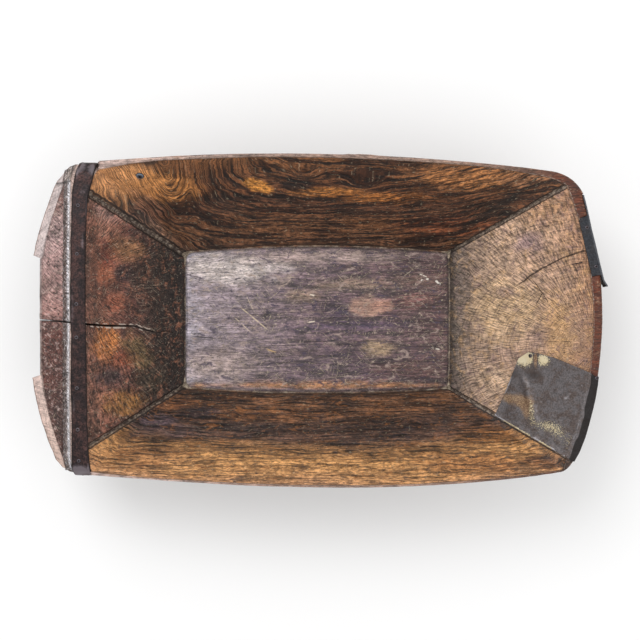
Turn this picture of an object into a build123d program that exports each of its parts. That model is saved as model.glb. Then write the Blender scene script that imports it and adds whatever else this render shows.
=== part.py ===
from build123d import *

import os
from math import atan, cos, degrees, pi, radians, sin, sqrt

# A dough trough hewn and hollowed from one log, with a lug at its left end and
# old iron repairs: a strap over the left rim, a folded plate on the right rim
# and a tin patch over the front right corner.
# Frame: +X runs along the log to the plated end, +Y to the far long side, +Z up.
# The origin is on the ground under the middle of the footprint. Millimetres.

# ---------------------------------------------------------------- overall sizes
length = 874.0            # tips of the lug's lobes to the bent corner of the rim plate
width = 504.0             # over the bellies of the long sides, at the rim
height = 200.0            # foot to rim, without the strap
depth = 155.0             # rim to floor of the hollow

# ------------------------------------------------------- outside of the hewn log
foot_length = 530.0       # flat that the trough stands on
foot_width = 264.0
chine_height = 60.0       # edge between the lower and the upper hewn facet
chine_left = 30.0         # how far the chine lies inside the rim at each end and side
chine_right = 102.0
chine_side = 72.0
band_height = 30.0        # upright band under the rim
belly_x = -45.0           # where the long sides are widest
side_radius = 3100.0      # bow of the long sides in plan
left_bow = 6.0            # how far the ends curve back at their corners
right_bow = 36.0
corner_radius = 70.0      # right-hand corners in plan
right_reach = 5.0         # rim at the right end to the bent corner of the rim plate

# ------------------------------------------------------------------ lug, left end
lug_reach = 65.5          # rim to the tips of the lobes
lug_thickness = 60.0
ledge_drop = 16.0         # rim down to the ledge on top of the lug
rim_bevel = 14.5          # run of the bevel between rim and ledge
lobe_run = 17.0           # width of the worn slope round the lobes
lobe_middle = 104.0       # half the straight middle between the lobes
lobe_sweep = 41.0         # how far the lobes curve back at their outer ends
lobe_corner = 21.5        # from those ends out to the long sides
underside_inset = 19.0    # how far the lug's lower edge lies inside its tips
hold_width = 179.0        # cut-away between the lobes for the hand
hold_depth = 16.0
hold_y = 5.5

# ------------------------------------------------------------------------- hollow
left_land = 23.5          # rim left standing at each end and side
right_land = 18.0
side_land = 5.5
left_turn_land = 7.4      # beside the strap the long walls turn in from here
left_turn_x = 15.0
left_turn_run = 38.0      # to the corners where the channels reach the rim
left_corner_in = 5.0
right_corner_land = 16.4
right_corner_bow = 39.0
floor_left = -218.0
floor_right = 217.0
floor_side = 112.0
floor_bow = 9.0
floor_end_bow = 2.0
floor_nick = 5.0          # small bevel where the left channels meet the floor
channel_radius = 3.0      # gouge channels up the four corners
floor_round = 4.0         # worn round where the walls meet the floor
rim_round = 1.5           # worn edge of the rim along the long sides

# -------------------------------------------------------------------------- split
split_width = 1.8         # at the tip of the lug, closing to nothing near the floor
split_start_y = 1.5
split_knee_y = -6.0
split_end = 112.0         # from the inner rim to where the split closes
split_end_y = -21.0
split_depth = 180.0       # rim down to the bottom of the split

# ------------------------------------------------------------------ strap and nails
strap_width = 23.5
strap_thickness = 3.0
strap_bow = 4.0
strap_far_inset = 15.5    # from the side of the log to the fold, on each side
strap_near_inset = 14.0
strap_fold_drop = 14.0    # height of the worn slope of the rim under each fold
strap_leg = 62.0          # rim to the end of each leg
strap_slack = 0.4         # gap between the legs and the wood
# places of the nails as shares of the strap from its far fold to its near fold
strap_nail_shares = (0.109, 0.274, 0.444, 0.557, 0.729, 0.87, 0.976)
leg_nail_drop = 22.0

nail_shank = 3.2
nail_tip = 1.4
nail_head = 4.2
head_sides = 8
nail_rise = 1.8
nail_length = 24.0
nail_fit = 0.1            # hole over shank
seat_lift = 0.15          # head over a curved surface

# ---------------------------------------------------------------------- rim plate
plate_sheet = 2.0
plate_leg_width = 138.0
plate_leg_depth = 26.0
plate_far_inset = 64.0    # from the widest of the far side to the far end of the leg
plate_turn = 13.2         # angle of the leg to the Y axis, degrees
plate_tab_length = 90.0
plate_tab_width = 16.0
plate_tab_start = 32.0    # from the far end of the leg to the tab
plate_tab_round = 7.0
plate_spur = 4.0          # bent corner beyond the leg
tab_nail_starts = (49.0, 109.0)
tab_spare_start = 93.0    # empty nail hole
tab_spare_radius = 1.6
face_nail_starts = (16.0, 124.0)
clench_start = 98.0
clench_drop = 9.0
clench_stand = 2.4        # how far the nail stands out of the inner wall
clench_tip = 9.0          # length bent down along the wall

# ------------------------------------------------------------------- corner patch
patch_sheet = 1.0
patch_gap = 0.3           # the tin stands this far off the wood
patch_leaf_depth = 46.0   # outside leaf, below the rim
patch_into = Vector(-0.62, 0, 0.78)     # out of the right wall, and out of the log
patch_outward = Vector(0.93, -0.37, 0)
# plan of the tin from the inner corner of the rim: along the channel, up the cut
# edge, round the lobe, back to the rim and over it; its nails are placed from there too
patch_hip = (-92.0, 51.0)
patch_kink = (-84.0, 75.0)
patch_lobe = ((-59.0, 141.0), (-46.0, 154.0), (-30.0, 151.0))
patch_far = (32.0, 127.0)
patch_over = (80.0, 122.0)
patch_near = (80.0, -30.0)
patch_lobe_nail = (-42.0, 148.0)
patch_rim_nail = (45.0, 117.0)
patch_leaf_nail_ys = (94.0, 24.0)
patch_leaf_nail_drop = 20.0

side_nail_x = -269.0
side_nail_drop = 21.5
side_nail_head = 6.2

# ---------------------------------------------------------------- worked-out places
half_length = length / 2
half_width = width / 2
rim_left = -half_length + lug_reach
rim_right = half_length - right_reach
band_z = height - band_height
ledge_z = height - ledge_drop
floor_z = height - depth
rim_corner_x = rim_right - right_bow
lip = 1.0                 # how far cutting shapes pass the surface they cut


def side_at(x, half):
    """Half-width of a bowed long side at x, half being its largest value."""
    return half - (side_radius - sqrt(side_radius**2 - (x - belly_x) ** 2))


side_corner = side_at(rim_left + left_bow, half_width)


def bowed_outline(z, left, right, half):
    """A level outline of four arcs at height z, its right-hand corners rounded."""
    x1 = left + left_bow
    x2 = right - right_bow
    with BuildSketch(Plane.XY.offset(z)) as outline:
        with BuildLine():
            ThreePointArc((x1, side_at(x1, half)), (belly_x, half), (x2, side_at(x2, half)))
            ThreePointArc((x2, side_at(x2, half)), (right, 0), (x2, -side_at(x2, half)))
            ThreePointArc((x2, -side_at(x2, half)), (belly_x, -half), (x1, -side_at(x1, half)))
            ThreePointArc((x1, -side_at(x1, half)), (left, 0), (x1, side_at(x1, half)))
        make_face()
        fillet(outline.vertices().group_by(Axis.X)[-1], corner_radius)
    return outline.sketch


# ------------------------------------------------------------------ hewn outside
chine = (rim_left + chine_left, rim_right - chine_right, half_width - chine_side)
rim = (rim_left, rim_right, half_width)

with BuildPart() as hull:
    loft(
        [
            bowed_outline(0, -foot_length / 2, foot_length / 2, foot_width / 2),
            bowed_outline(chine_height, *chine),
            bowed_outline(band_z, *rim),
            bowed_outline(height, *rim),
        ],
        ruled=True,
    )
    fillet(hull.edges().group_by(Axis.Z)[-1].sort_by(SortBy.LENGTH)[-2:], rim_round)


# ------------------------------------------------------------------------ hollow
inner_left = rim_left + left_land
inner_right = rim_right - right_land
inner_side = half_width - side_land
corner_in = inner_right - right_corner_bow
turn_x = inner_left + left_turn_x
turn_y = side_corner - left_turn_land
corner_x = inner_left + left_corner_in
left_corner_y = turn_y - left_turn_run
right_corner_y = side_at(rim_corner_x, half_width) - right_corner_land
floor_end = floor_right + floor_end_bow

with BuildPart() as hollow:
    with BuildSketch(Plane.XY.offset(floor_z)):
        with BuildLine():
            far = (floor_left + floor_nick, floor_side)
            near = (floor_left + floor_nick, -floor_side)
            ThreePointArc(far, (0, floor_side + floor_bow), (floor_right, floor_side))
            ThreePointArc((floor_right, floor_side), (floor_end, 0), (floor_right, -floor_side))
            ThreePointArc((floor_right, -floor_side), (0, -floor_side - floor_bow), near)
            Line(near, (floor_left, -floor_side + floor_nick))
            Line((floor_left, -floor_side + floor_nick), (floor_left, floor_side - floor_nick))
            Line((floor_left, floor_side - floor_nick), far)
        make_face()
    with BuildSketch(Plane.XY.offset(height)):
        with BuildLine():
            far = (turn_x, turn_y)
            near = (turn_x, -turn_y)
            ThreePointArc(far, (belly_x, inner_side), (corner_in, right_corner_y))
            ThreePointArc((corner_in, right_corner_y), (inner_right, 0), (corner_in, -right_corner_y))
            ThreePointArc((corner_in, -right_corner_y), (belly_x, -inner_side), near)
            Line(near, (corner_x, -left_corner_y))
            Line((corner_x, -left_corner_y), (corner_x, left_corner_y))
            Line((corner_x, left_corner_y), far)
        make_face()
    loft(ruled=True)
    fillet(hollow.edges().group_by(Axis.Z)[0], floor_round)

# the channels up the hollow's four corners, from the floor to the rim
with BuildPart() as channels:
    for side in (1, -1):
        for foot, top in (
            ((floor_left, side * (floor_side - floor_nick)), (corner_x, side * left_corner_y)),
            ((floor_right, side * floor_side), (corner_in, side * right_corner_y)),
        ):
            run = Vector(*top, height) - Vector(*foot, floor_z)
            with BuildSketch(Plane(Vector(*foot, floor_z), z_dir=run)):
                Circle(channel_radius)
            extrude(amount=run.length + channel_radius)


# --------------------------------------------------------------------------- lug
chine_corner = side_at(rim_left + chine_left + left_bow, half_width - chine_side)
bevel_half = side_corner - 1.5 * lobe_corner
strap_left = rim_left
strap_right = rim_left + strap_width


def side_corner_at(z):
    """Half-width of the hewn outside at its left end, at height z."""
    below = max(0.0, band_z - z)
    return side_corner - (side_corner - chine_corner) * below / (band_z - chine_height)


def lug_outline(z, inset):
    """Plan of the lug at height z, drawn in from its tips by inset."""
    tip = -half_length + inset
    side = side_corner_at(z)
    lobe_x = -half_length + lobe_sweep + 0.7 * inset
    lobe_y = side - lobe_corner - 0.4 * inset
    root = rim_left + 2 * strap_width
    with BuildSketch(Plane.XY.offset(z)) as outline:
        with BuildLine():
            Polyline((lobe_x, lobe_y), (rim_left - 2, side), (root, side))
            Line((root, side), (root, -side))
            Polyline((root, -side), (rim_left - 2, -side), (lobe_x, -lobe_y))
            TangentArc((tip, -lobe_middle), (lobe_x, -lobe_y), tangent=(0, -1))
            Line((tip, -lobe_middle), (tip, lobe_middle))
            TangentArc((tip, lobe_middle), (lobe_x, lobe_y), tangent=(0, 1))
        make_face()
    return outline.sketch


with BuildPart() as lug:
    loft(
        [
            lug_outline(ledge_z - lug_thickness, underside_inset),
            lug_outline(band_z, 0),
            lug_outline(ledge_z, lobe_run),
        ],
        ruled=True,
    )
    # the hand hold cut away between the lobes
    with BuildSketch(Plane.XY.offset(ledge_z + lip)):
        with Locations((-half_length + hold_depth, hold_y)):
            Rectangle(hold_depth + lip, hold_width, align=(Align.MAX, Align.CENTER))
    extrude(amount=-lug_thickness - 2 * lip, mode=Mode.SUBTRACT)
    # the bevel that falls from the rim to the ledge, short of the worn corners
    with BuildSketch(Plane.XZ.offset(-bevel_half)):
        with BuildLine():
            Polyline(
                (rim_left, height),
                (rim_left - rim_bevel, ledge_z),
                (rim_left + strap_width, ledge_z),
                (rim_left + strap_width, height),
                close=True,
            )
        make_face()
    extrude(amount=2 * bevel_half)


# -------------------------------------------------------------------------- nails
def square_nail(head, fit=0.0, reach=nail_length):
    """A forged nail pointing down from the origin: faceted head, tapered square shank."""
    shank_taper = degrees(atan((nail_shank - nail_tip) / 2 / reach))
    head_taper = degrees(atan(head / 2 * cos(pi / head_sides) / nail_rise))
    with BuildPart() as nail:
        with BuildSketch(Plane.XY):
            Rectangle(nail_shank + fit, nail_shank + fit)
        extrude(amount=-reach - fit, taper=shank_taper)
        with BuildSketch(Plane.XY):
            RegularPolygon(head, head_sides)
        extrude(amount=nail_rise, taper=head_taper)
    return nail.part


small_nail = square_nail(nail_head)
nail_hole = square_nail(nail_shank, nail_fit)


def skin_plane(solid, start, direction, flip=False):
    """Nail seat just off the last skin of a solid that a ray meets, facing out of that skin."""
    point, normal = solid.find_intersection_points(Axis(start, direction))[-1]
    out = normal * (-1 if flip else 1)
    return Plane(origin=point + out * seat_lift, z_dir=out)


# ------------------------------------------------------------------ strap, left end
leg_end_z = height - strap_leg
leg_slope = (side_corner - chine_corner) / (band_z - chine_height)
legs = ((1, strap_far_inset), (-1, strap_near_inset))


def leg_path(inset, out, rise=0.0):
    """Points in YZ down one leg of the strap, on a line out beyond the wood by out."""
    face = side_corner + out
    return [
        (side_corner - inset + min(out, 0), height + rise),
        (face, height - strap_fold_drop + rise / 2),
        (face, band_z),
        (face - leg_slope * (band_z - leg_end_z), leg_end_z),
    ]


def leg_profile(side, inner, outer, x):
    """Face at x between two paths down a leg; side is 1 on the far side, -1 on the near."""
    with BuildSketch(Plane.YZ.offset(x)) as profile:
        with BuildLine():
            Polyline(*[(side * y, z) for y, z in inner + outer[::-1]], close=True)
        make_face()
    return profile.sketch


far_fold = side_corner - strap_far_inset
near_fold = side_corner - strap_near_inset
strap_middle = (strap_left + strap_right) / 2
strap_nail_ys = [far_fold - share * (far_fold + near_fold) for share in strap_nail_shares]
strap_nail_seats = [
    Plane((strap_middle + strap_bow * (y / far_fold) ** 2, y, height + strap_thickness))
    for y in strap_nail_ys
]
leg_nail_seats = [
    Plane(
        (strap_middle + strap_bow, side * (side_corner + strap_thickness), height - leg_nail_drop),
        z_dir=(0, side, 0),
    )
    for side, _ in legs
]

with BuildPart() as end_strap:
    with BuildSketch(Plane.XY.offset(height)):
        with BuildLine():
            for x in (strap_left, strap_right):
                ThreePointArc((x + strap_bow, far_fold), (x, 0), (x + strap_bow, -near_fold))
            for y in (far_fold, -near_fold):
                Line((strap_left + strap_bow, y), (strap_right + strap_bow, y))
        make_face()
    extrude(amount=strap_thickness)
    for side, inset in legs:
        inner = leg_path(inset, 0)
        outer = leg_path(inset, strap_thickness, strap_thickness)
        extrude(leg_profile(side, inner, outer, strap_left + strap_bow), amount=strap_width)
    with Locations(*strap_nail_seats, *leg_nail_seats):
        add(nail_hole, mode=Mode.SUBTRACT)

# the room that the legs need in the log
with BuildPart() as leg_beds:
    for side, inset in legs:
        bed = leg_path(inset, -strap_slack)
        clear = [(y + 4 * strap_thickness, z) for y, z in bed]
        clear[0] = (bed[0][0], height + lip)
        clear[1] = (clear[1][0], height + lip)
        face = leg_profile(side, bed, clear, strap_left + strap_bow - strap_slack)
        extrude(face, amount=strap_width + 2 * strap_slack)

with BuildPart() as strap_nails:
    with Locations(*strap_nail_seats):
        add(small_nail)

with BuildPart() as strap_leg_nails:
    with Locations(*leg_nail_seats):
        add(small_nail)

# ---------------------------------------------------------------------- rim plate
plate_run = plate_leg_width * sin(radians(plate_turn))
plate_across = plate_leg_width * cos(radians(plate_turn))
plate_far_y = half_width - plate_far_inset
plate_end = (half_length - plate_spur, plate_far_y - plate_across)
plate_plane = Plane(
    origin=(plate_end[0] - plate_run, plate_far_y, height),
    x_dir=(plate_run, -plate_across, 0),
    z_dir=(0, 0, 1),
)


def on_plate(start, out):
    """Plan position at start along the plate and out from its outer face."""
    spot = plate_plane.from_local_coords((start, out))
    return (spot.X, spot.Y)


def tab_seat(start):
    """Plane on top of the tab, start along the plate."""
    return Plane((*on_plate(start, -plate_tab_width / 2), height + plate_sheet))


def face_seat(start, drop):
    """Plane on the outer face of the leg, start along it and drop below the rim."""
    return Plane((*on_plate(start, 0), height - drop), z_dir=plate_plane.y_dir)


tab_nail_seats = [tab_seat(start) for start in tab_nail_starts]
face_nail_seats = [face_seat(start, plate_leg_depth / 2) for start in face_nail_starts]
clench_seat = face_seat(clench_start, clench_drop)

# where the clenched nail comes through the inner wall, and which way is down that wall
clench_out, into_wood = hollow.part.find_intersection_points(
    Axis(clench_seat.origin, clench_seat.z_dir * -1)
)[0]
clench_reach = (clench_out - clench_seat.origin).length + clench_stand
clench_end = clench_seat.origin - clench_seat.z_dir * clench_reach
straight_down = Vector(0, 0, -1)
down_wall = straight_down - into_wood * straight_down.dot(into_wood)
clench_hole = square_nail(nail_shank, nail_fit, clench_reach)

with BuildPart() as rim_plate:
    with BuildSketch(plate_plane):
        with Locations((0, -plate_sheet)):
            Rectangle(plate_leg_width, plate_sheet, align=Align.MIN)
    extrude(amount=-plate_leg_depth)
    with BuildSketch(plate_plane):
        with Locations((plate_tab_start, -plate_tab_width)):
            Rectangle(plate_tab_length, plate_tab_width, align=Align.MIN)
    extrude(amount=plate_sheet)
    # the corner of the leg that stands bent out beyond its end
    with BuildSketch(Plane.XY.offset(height)):
        with BuildLine():
            Polyline(
                on_plate(plate_leg_width - 2 * plate_spur, 0),
                plate_end,
                (half_length, plate_end[1] - plate_spur),
                on_plate(plate_leg_width, -plate_sheet),
                on_plate(plate_leg_width - 2 * plate_spur, -plate_sheet),
                close=True,
            )
        make_face()
    extrude(amount=-plate_leg_depth / 2)
    # the worn round corner of the tab
    tab_corner = (*on_plate(plate_tab_start, -plate_tab_width), height + plate_sheet / 2)
    upright = rim_plate.edges().filter_by(Axis.Z)
    fillet(upright.sort_by_distance(tab_corner)[0], plate_tab_round)
    with Locations(*tab_nail_seats, *face_nail_seats):
        add(nail_hole, mode=Mode.SUBTRACT)
    with Locations(clench_seat):
        add(clench_hole, mode=Mode.SUBTRACT)
    with Locations(tab_seat(tab_spare_start)):
        Hole(tab_spare_radius, depth=plate_sheet)

with BuildPart() as rim_plate_tab_nails:
    with Locations(*tab_nail_seats):
        add(small_nail)

with BuildPart() as rim_plate_face_nails:
    with Locations(*face_nail_seats):
        add(small_nail)

with BuildPart() as rim_plate_clench_nail:
    with Locations(clench_seat):
        add(square_nail(nail_head, reach=clench_reach))
    with BuildSketch(Plane(clench_end, z_dir=down_wall)):
        Rectangle(nail_tip, nail_tip)
    extrude(amount=clench_tip)

# ------------------------------------------------------------------- corner patch
sheet_off = patch_gap + patch_sheet
inner_corner = (corner_in, -right_corner_y)
inner_edge = ((0, 0), patch_hip, patch_kink, patch_lobe[0])
plan_level = Plane((*inner_corner, height - patch_leaf_depth))

# the skins of the log that the tin follows, inside and outside
outer_gap = Pos(patch_outward * patch_gap) * hull.part
outer_skin = Pos(patch_outward * sheet_off + Vector(0, 0, patch_sheet)) * hull.part
inner_gap = Pos(patch_into * patch_gap) * hollow.part
inner_skin = Pos(patch_into * sheet_off) * hollow.part

lobe_at = Vector(*inner_corner, height + depth) + Vector(*patch_lobe_nail)
rim_at = Vector(*inner_corner, height + patch_sheet) + Vector(*patch_rim_nail)
patch_nail_seats = [
    skin_plane(inner_skin, lobe_at, (0, 0, -1), flip=True),
    Plane(rim_at),
    *[
        skin_plane(outer_skin, (0, y - right_corner_y, height - patch_leaf_nail_drop), (1, 0, 0))
        for y in patch_leaf_nail_ys
    ],
]

with BuildPart() as outer_leaf:
    with BuildSketch(plan_level):
        with BuildLine():
            Polyline(*inner_edge)
            ThreePointArc(*patch_lobe)
            Polyline(patch_lobe[2], patch_far, patch_over, patch_near, (0, 0))
        make_face()
    extrude(amount=patch_leaf_depth + 2 * patch_sheet)
    add(outer_skin, mode=Mode.INTERSECT)
    add(outer_gap, mode=Mode.SUBTRACT)

with BuildPart() as inner_leaf:
    with BuildSketch(plan_level.offset(-depth)):
        with BuildLine():
            Polyline(*inner_edge)
            ThreePointArc(*patch_lobe)
            Polyline(patch_lobe[2], patch_far, (0, 0))
        make_face()
    extrude(amount=depth + patch_leaf_depth + 2 * patch_sheet)
    add(inner_gap, mode=Mode.INTERSECT)

with BuildPart() as corner_patch:
    add(outer_leaf.part)
    add(inner_leaf.part)
    add(inner_skin, mode=Mode.SUBTRACT)
    with Locations(*patch_nail_seats):
        add(nail_hole, mode=Mode.SUBTRACT)

with BuildPart() as corner_patch_nails:
    with Locations(*patch_nail_seats):
        add(small_nail)

# ------------------------------------------------------------- nail in the far wall
side_nail_seat = skin_plane(
    hollow.part, (side_nail_x, 0, height - side_nail_drop), (0, 1, 0), flip=True
)

with BuildPart() as side_wall_nail:
    with Locations(side_nail_seat):
        add(square_nail(side_nail_head))

# -------------------------------------------------------------- the hollowed log
with BuildPart() as trough_body:
    add(hull.part)
    add(lug.part)
    add(hollow.part, mode=Mode.SUBTRACT)
    add(channels.part, mode=Mode.SUBTRACT)
    add(leg_beds.part, mode=Mode.SUBTRACT)
    # flat seat of the rim plate
    with BuildSketch(plate_plane.offset(lip)):
        with Locations((-plate_sheet, -plate_sheet)):
            Rectangle(plate_leg_width + 2 * plate_sheet, corner_radius, align=Align.MIN)
    extrude(amount=-band_height - lip, mode=Mode.SUBTRACT)
    # the split that runs in from the lug and closes in the end wall
    with BuildSketch(Plane.XY.offset(height - split_depth)):
        with BuildLine():
            Polyline(
                (-half_length, split_start_y + split_width / 2),
                (inner_left, split_knee_y + split_width / 2),
                (inner_left + split_end, split_end_y),
                (inner_left, split_knee_y - split_width / 2),
                (-half_length, split_start_y - split_width / 2),
                close=True,
            )
        make_face()
    extrude(amount=split_depth + lip, mode=Mode.SUBTRACT)
    with Locations(
        *strap_nail_seats,
        *leg_nail_seats,
        *tab_nail_seats,
        *face_nail_seats,
        *patch_nail_seats,
        side_nail_seat,
    ):
        add(nail_hole, mode=Mode.SUBTRACT)
    with Locations(clench_seat):
        add(clench_hole, mode=Mode.SUBTRACT)

# ------------------------------------------------------------------------- export
pieces = {
    "trough_body": trough_body,
    "end_strap": end_strap,
    "strap_nails": strap_nails,
    "strap_leg_nails": strap_leg_nails,
    "rim_plate": rim_plate,
    "rim_plate_tab_nails": rim_plate_tab_nails,
    "rim_plate_face_nails": rim_plate_face_nails,
    "rim_plate_clench_nail": rim_plate_clench_nail,
    "corner_patch": corner_patch,
    "corner_patch_nails": corner_patch_nails,
    "side_wall_nail": side_wall_nail,
}
os.makedirs("parts", exist_ok=True)
for name, piece in pieces.items():
    piece.part.label = name
    export_step(piece.part, f"parts/{name}.step")
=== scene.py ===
"""Looks of an old dough trough: one hollowed log, its iron strap, rim plate, tin patch and nails.

Lengths are in millimetres in the log's own frame and become metres when a mesh is made.
"""

import logging
from dataclasses import dataclass, field
from enum import IntEnum
from itertools import product

import bmesh
import bpy
import numpy as np
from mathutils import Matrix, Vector


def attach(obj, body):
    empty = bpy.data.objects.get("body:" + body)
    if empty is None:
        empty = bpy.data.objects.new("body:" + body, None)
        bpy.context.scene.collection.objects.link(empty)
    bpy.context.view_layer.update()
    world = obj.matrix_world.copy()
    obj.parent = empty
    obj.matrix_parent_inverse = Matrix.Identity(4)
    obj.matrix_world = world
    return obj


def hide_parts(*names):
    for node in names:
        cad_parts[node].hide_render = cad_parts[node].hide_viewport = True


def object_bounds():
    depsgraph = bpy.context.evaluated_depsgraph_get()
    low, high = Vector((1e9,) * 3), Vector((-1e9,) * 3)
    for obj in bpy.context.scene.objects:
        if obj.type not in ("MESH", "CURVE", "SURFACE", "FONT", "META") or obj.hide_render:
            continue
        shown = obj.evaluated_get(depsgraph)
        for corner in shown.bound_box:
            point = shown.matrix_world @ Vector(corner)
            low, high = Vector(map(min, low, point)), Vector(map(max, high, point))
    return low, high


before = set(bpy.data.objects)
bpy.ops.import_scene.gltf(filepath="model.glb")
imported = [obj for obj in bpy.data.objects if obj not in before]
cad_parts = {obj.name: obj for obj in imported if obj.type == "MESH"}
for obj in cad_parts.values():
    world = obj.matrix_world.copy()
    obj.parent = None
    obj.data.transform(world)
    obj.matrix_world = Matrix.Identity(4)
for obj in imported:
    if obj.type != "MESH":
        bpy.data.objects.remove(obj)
cad_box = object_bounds()

MM = 0.001
BODY = "root"
CAD_LOW, CAD_HIGH = (np.array(corner) / MM for corner in cad_box)
EVEN_LIGHT = np.array([0.21, 0.72, 0.07])  # shares of red, green and blue in how light a tone looks
Array = np.ndarray
Pair = tuple[float, float]
Triple = tuple[float, float, float]
Numbers = tuple[float, ...]
Piece = bpy.types.Object
Material = bpy.types.Material
Node = bpy.types.Node
Socket = bpy.types.NodeSocket
Value = float | Numbers | Socket
Size = float | Triple
log = logging.getLogger("trough")


# ---- numbers and shapes
def linear(code: str) -> Numbers:
    """Linear RGBA of a colour written as #rrggbb."""
    levels = np.array([int(code[i : i + 2], 16) / 255 for i in (1, 3, 5)])
    low = levels / 12.92
    high = ((levels + 0.055) / 1.055) ** 2.4
    return (*(float(v) for v in np.where(levels <= 0.04045, low, high)), 1.0)


def eased(value: Array, start: float, end: float) -> Array:
    """Rise from 0 at start to 1 at end along 3t^2 - 2t^3, t being the clamped share of the way."""
    share = np.clip((value - start) / (end - start), 0, 1)
    return share * share * (3 - 2 * share)


def bell(distance: Array, spread: float) -> Array:
    """exp(-(distance / spread)^2): 1 at the middle, falling to nothing over twice the spread."""
    return np.exp(-((distance / spread) ** 2))


def clustered(count: int, pull: float = 0.07) -> Array:
    """Shares t - pull sin(2 pi t) for count even steps t from 0 to 1: closer together at both ends."""
    even = np.linspace(0, 1, count + 1)
    return even - pull * np.sin(2 * np.pi * even)


def turned(start: Array, corner: Array, end: Array, q: Array) -> Array:
    """(1 - q)^2 start + 2q(1 - q) corner + q^2 end: a corner turned as a smooth bow."""
    return (1 - q) ** 2 * start + 2 * q * (1 - q) * corner + q**2 * end


def between(at: Array | float, places: Array, line: Array) -> Array:
    """Points read off a line at other places than its own, straight between them."""
    return np.stack([np.interp(at, places, row) for row in np.transpose(line)], axis=-1)


def lattice(corner: Array, seed: int) -> Array:
    """Fixed pseudo-random value between -1 and 1 for each whole-number lattice point, from an integer hash."""
    x, y, z = (corner[..., i].astype(np.int64) for i in range(3))
    mixed = (x * 73856093) ^ (y * 19349663) ^ (z * 83492791) ^ (seed * 2654435761)
    mixed &= 0x7FFFFFFF
    mixed = ((mixed ^ (mixed >> 13)) * 1274126177) & 0x7FFFFFFF
    return ((mixed >> 8) & 0xFFFF) / 32767.5 - 1


def rough(points: Array, cell: Triple, seed: int) -> Array:
    """Smooth noise: the eight lattice values round a point, blended by 3t^2 - 2t^3 of its place in the cell.

    Args:
        points: positions in millimetres, last axis xyz.
        cell: length of a lattice cell along x, y and z.
        seed: picks another pattern.

    Returns:
        Values between -1 and 1, one for each point.
    """
    scaled = points / np.array(cell)
    base = np.floor(scaled)
    share = scaled - base
    blend = share * share * (3 - 2 * share)
    total = np.zeros(points.shape[:-1])
    for corner in product((0, 1), repeat=3):
        weight = np.prod(np.where(np.array(corner), blend, 1 - blend), axis=-1)
        total += weight * lattice(base + np.array(corner), seed)
    return total


def surface_normals(grid: Array, ring: bool = False) -> Array:
    """Unit cross product of the differences of a grid of points along its columns and its rows.

    Args:
        grid: points of shape rows x columns x 3.
        ring: whether the last column lies beside the first.

    Returns:
        One normal for each point.
    """
    wide = np.concatenate([grid[:, -2:-1], grid, grid[:, 1:2]], axis=1) if ring else grid
    along = np.gradient(wide, axis=1)
    across = np.gradient(wide, axis=0)
    normal = np.cross(along, across)
    normal = normal[:, 1:-1] if ring else normal
    size = np.linalg.norm(normal, axis=-1, keepdims=True)
    return normal / np.maximum(size, 1e-9)


def grid_faces(rows: int, columns: int, close: bool = False) -> Array:
    """Quads joining each point of a grid to the next in its row and in its column.

    Args:
        rows: rows of the grid.
        columns: columns of the grid.
        close: whether the last column is joined to the first.

    Returns:
        Point numbers, four to a face, row by row.
    """
    number = np.arange(rows * columns).reshape(rows, columns)
    if close:
        number = np.concatenate([number, number[:, :1]], axis=1)
    quads = np.stack([number[:-1, :-1], number[:-1, 1:], number[1:, 1:], number[1:, :-1]], axis=-1)
    return quads.reshape(-1, 4)


def new_piece(name: str, points: Array, faces: list, material: Material) -> Piece:
    """A smooth mesh object at the origin from points in millimetres.

    Args:
        name: the object's name.
        points: positions, last axis xyz.
        faces: point numbers of each face.
        material: its first finish.

    Returns:
        The object, linked to the scene.
    """
    mesh = bpy.data.meshes.new(name)
    mesh.from_pydata((points.reshape(-1, 3) * MM).tolist(), [], [list(map(int, f)) for f in faces])
    mesh.polygons.foreach_set("use_smooth", np.ones(len(mesh.polygons), dtype=bool))
    mesh.materials.append(material)
    piece = bpy.data.objects.new(name, mesh)
    bpy.context.collection.objects.link(piece)
    return piece


def tidy(piece: Piece, gap: float = 0.002) -> None:
    """Join points closer than gap millimetres and turn all faces outwards.

    Args:
        piece: a mesh object.
        gap: the largest distance that is joined.
    """
    work = bmesh.new()
    work.from_mesh(piece.data)
    bmesh.ops.remove_doubles(work, verts=work.verts, dist=gap * MM)
    bmesh.ops.dissolve_degenerate(work, edges=work.edges, dist=gap * MM / 10)
    bmesh.ops.recalc_face_normals(work, faces=work.faces)
    work.to_mesh(piece.data)
    work.free()


def thicken(piece: Piece, sheet: float, offset: float) -> None:
    """Give a surface the thickness of its sheet."""
    thick = piece.modifiers.new("sheet", "SOLIDIFY")
    thick.thickness = sheet * MM
    thick.offset = offset


def place(piece: Piece, slot: str, *nodes: str) -> None:
    """Let a piece ride on the log and stand for CAD nodes.

    Args:
        piece: the finished object.
        slot: the record's material slot; not used.
        *nodes: CAD nodes that it replaces.
    """
    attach(piece, BODY)
    if nodes:
        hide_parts(*nodes)
    log.info("%s: %d faces", piece.name, len(piece.data.polygons))


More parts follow.
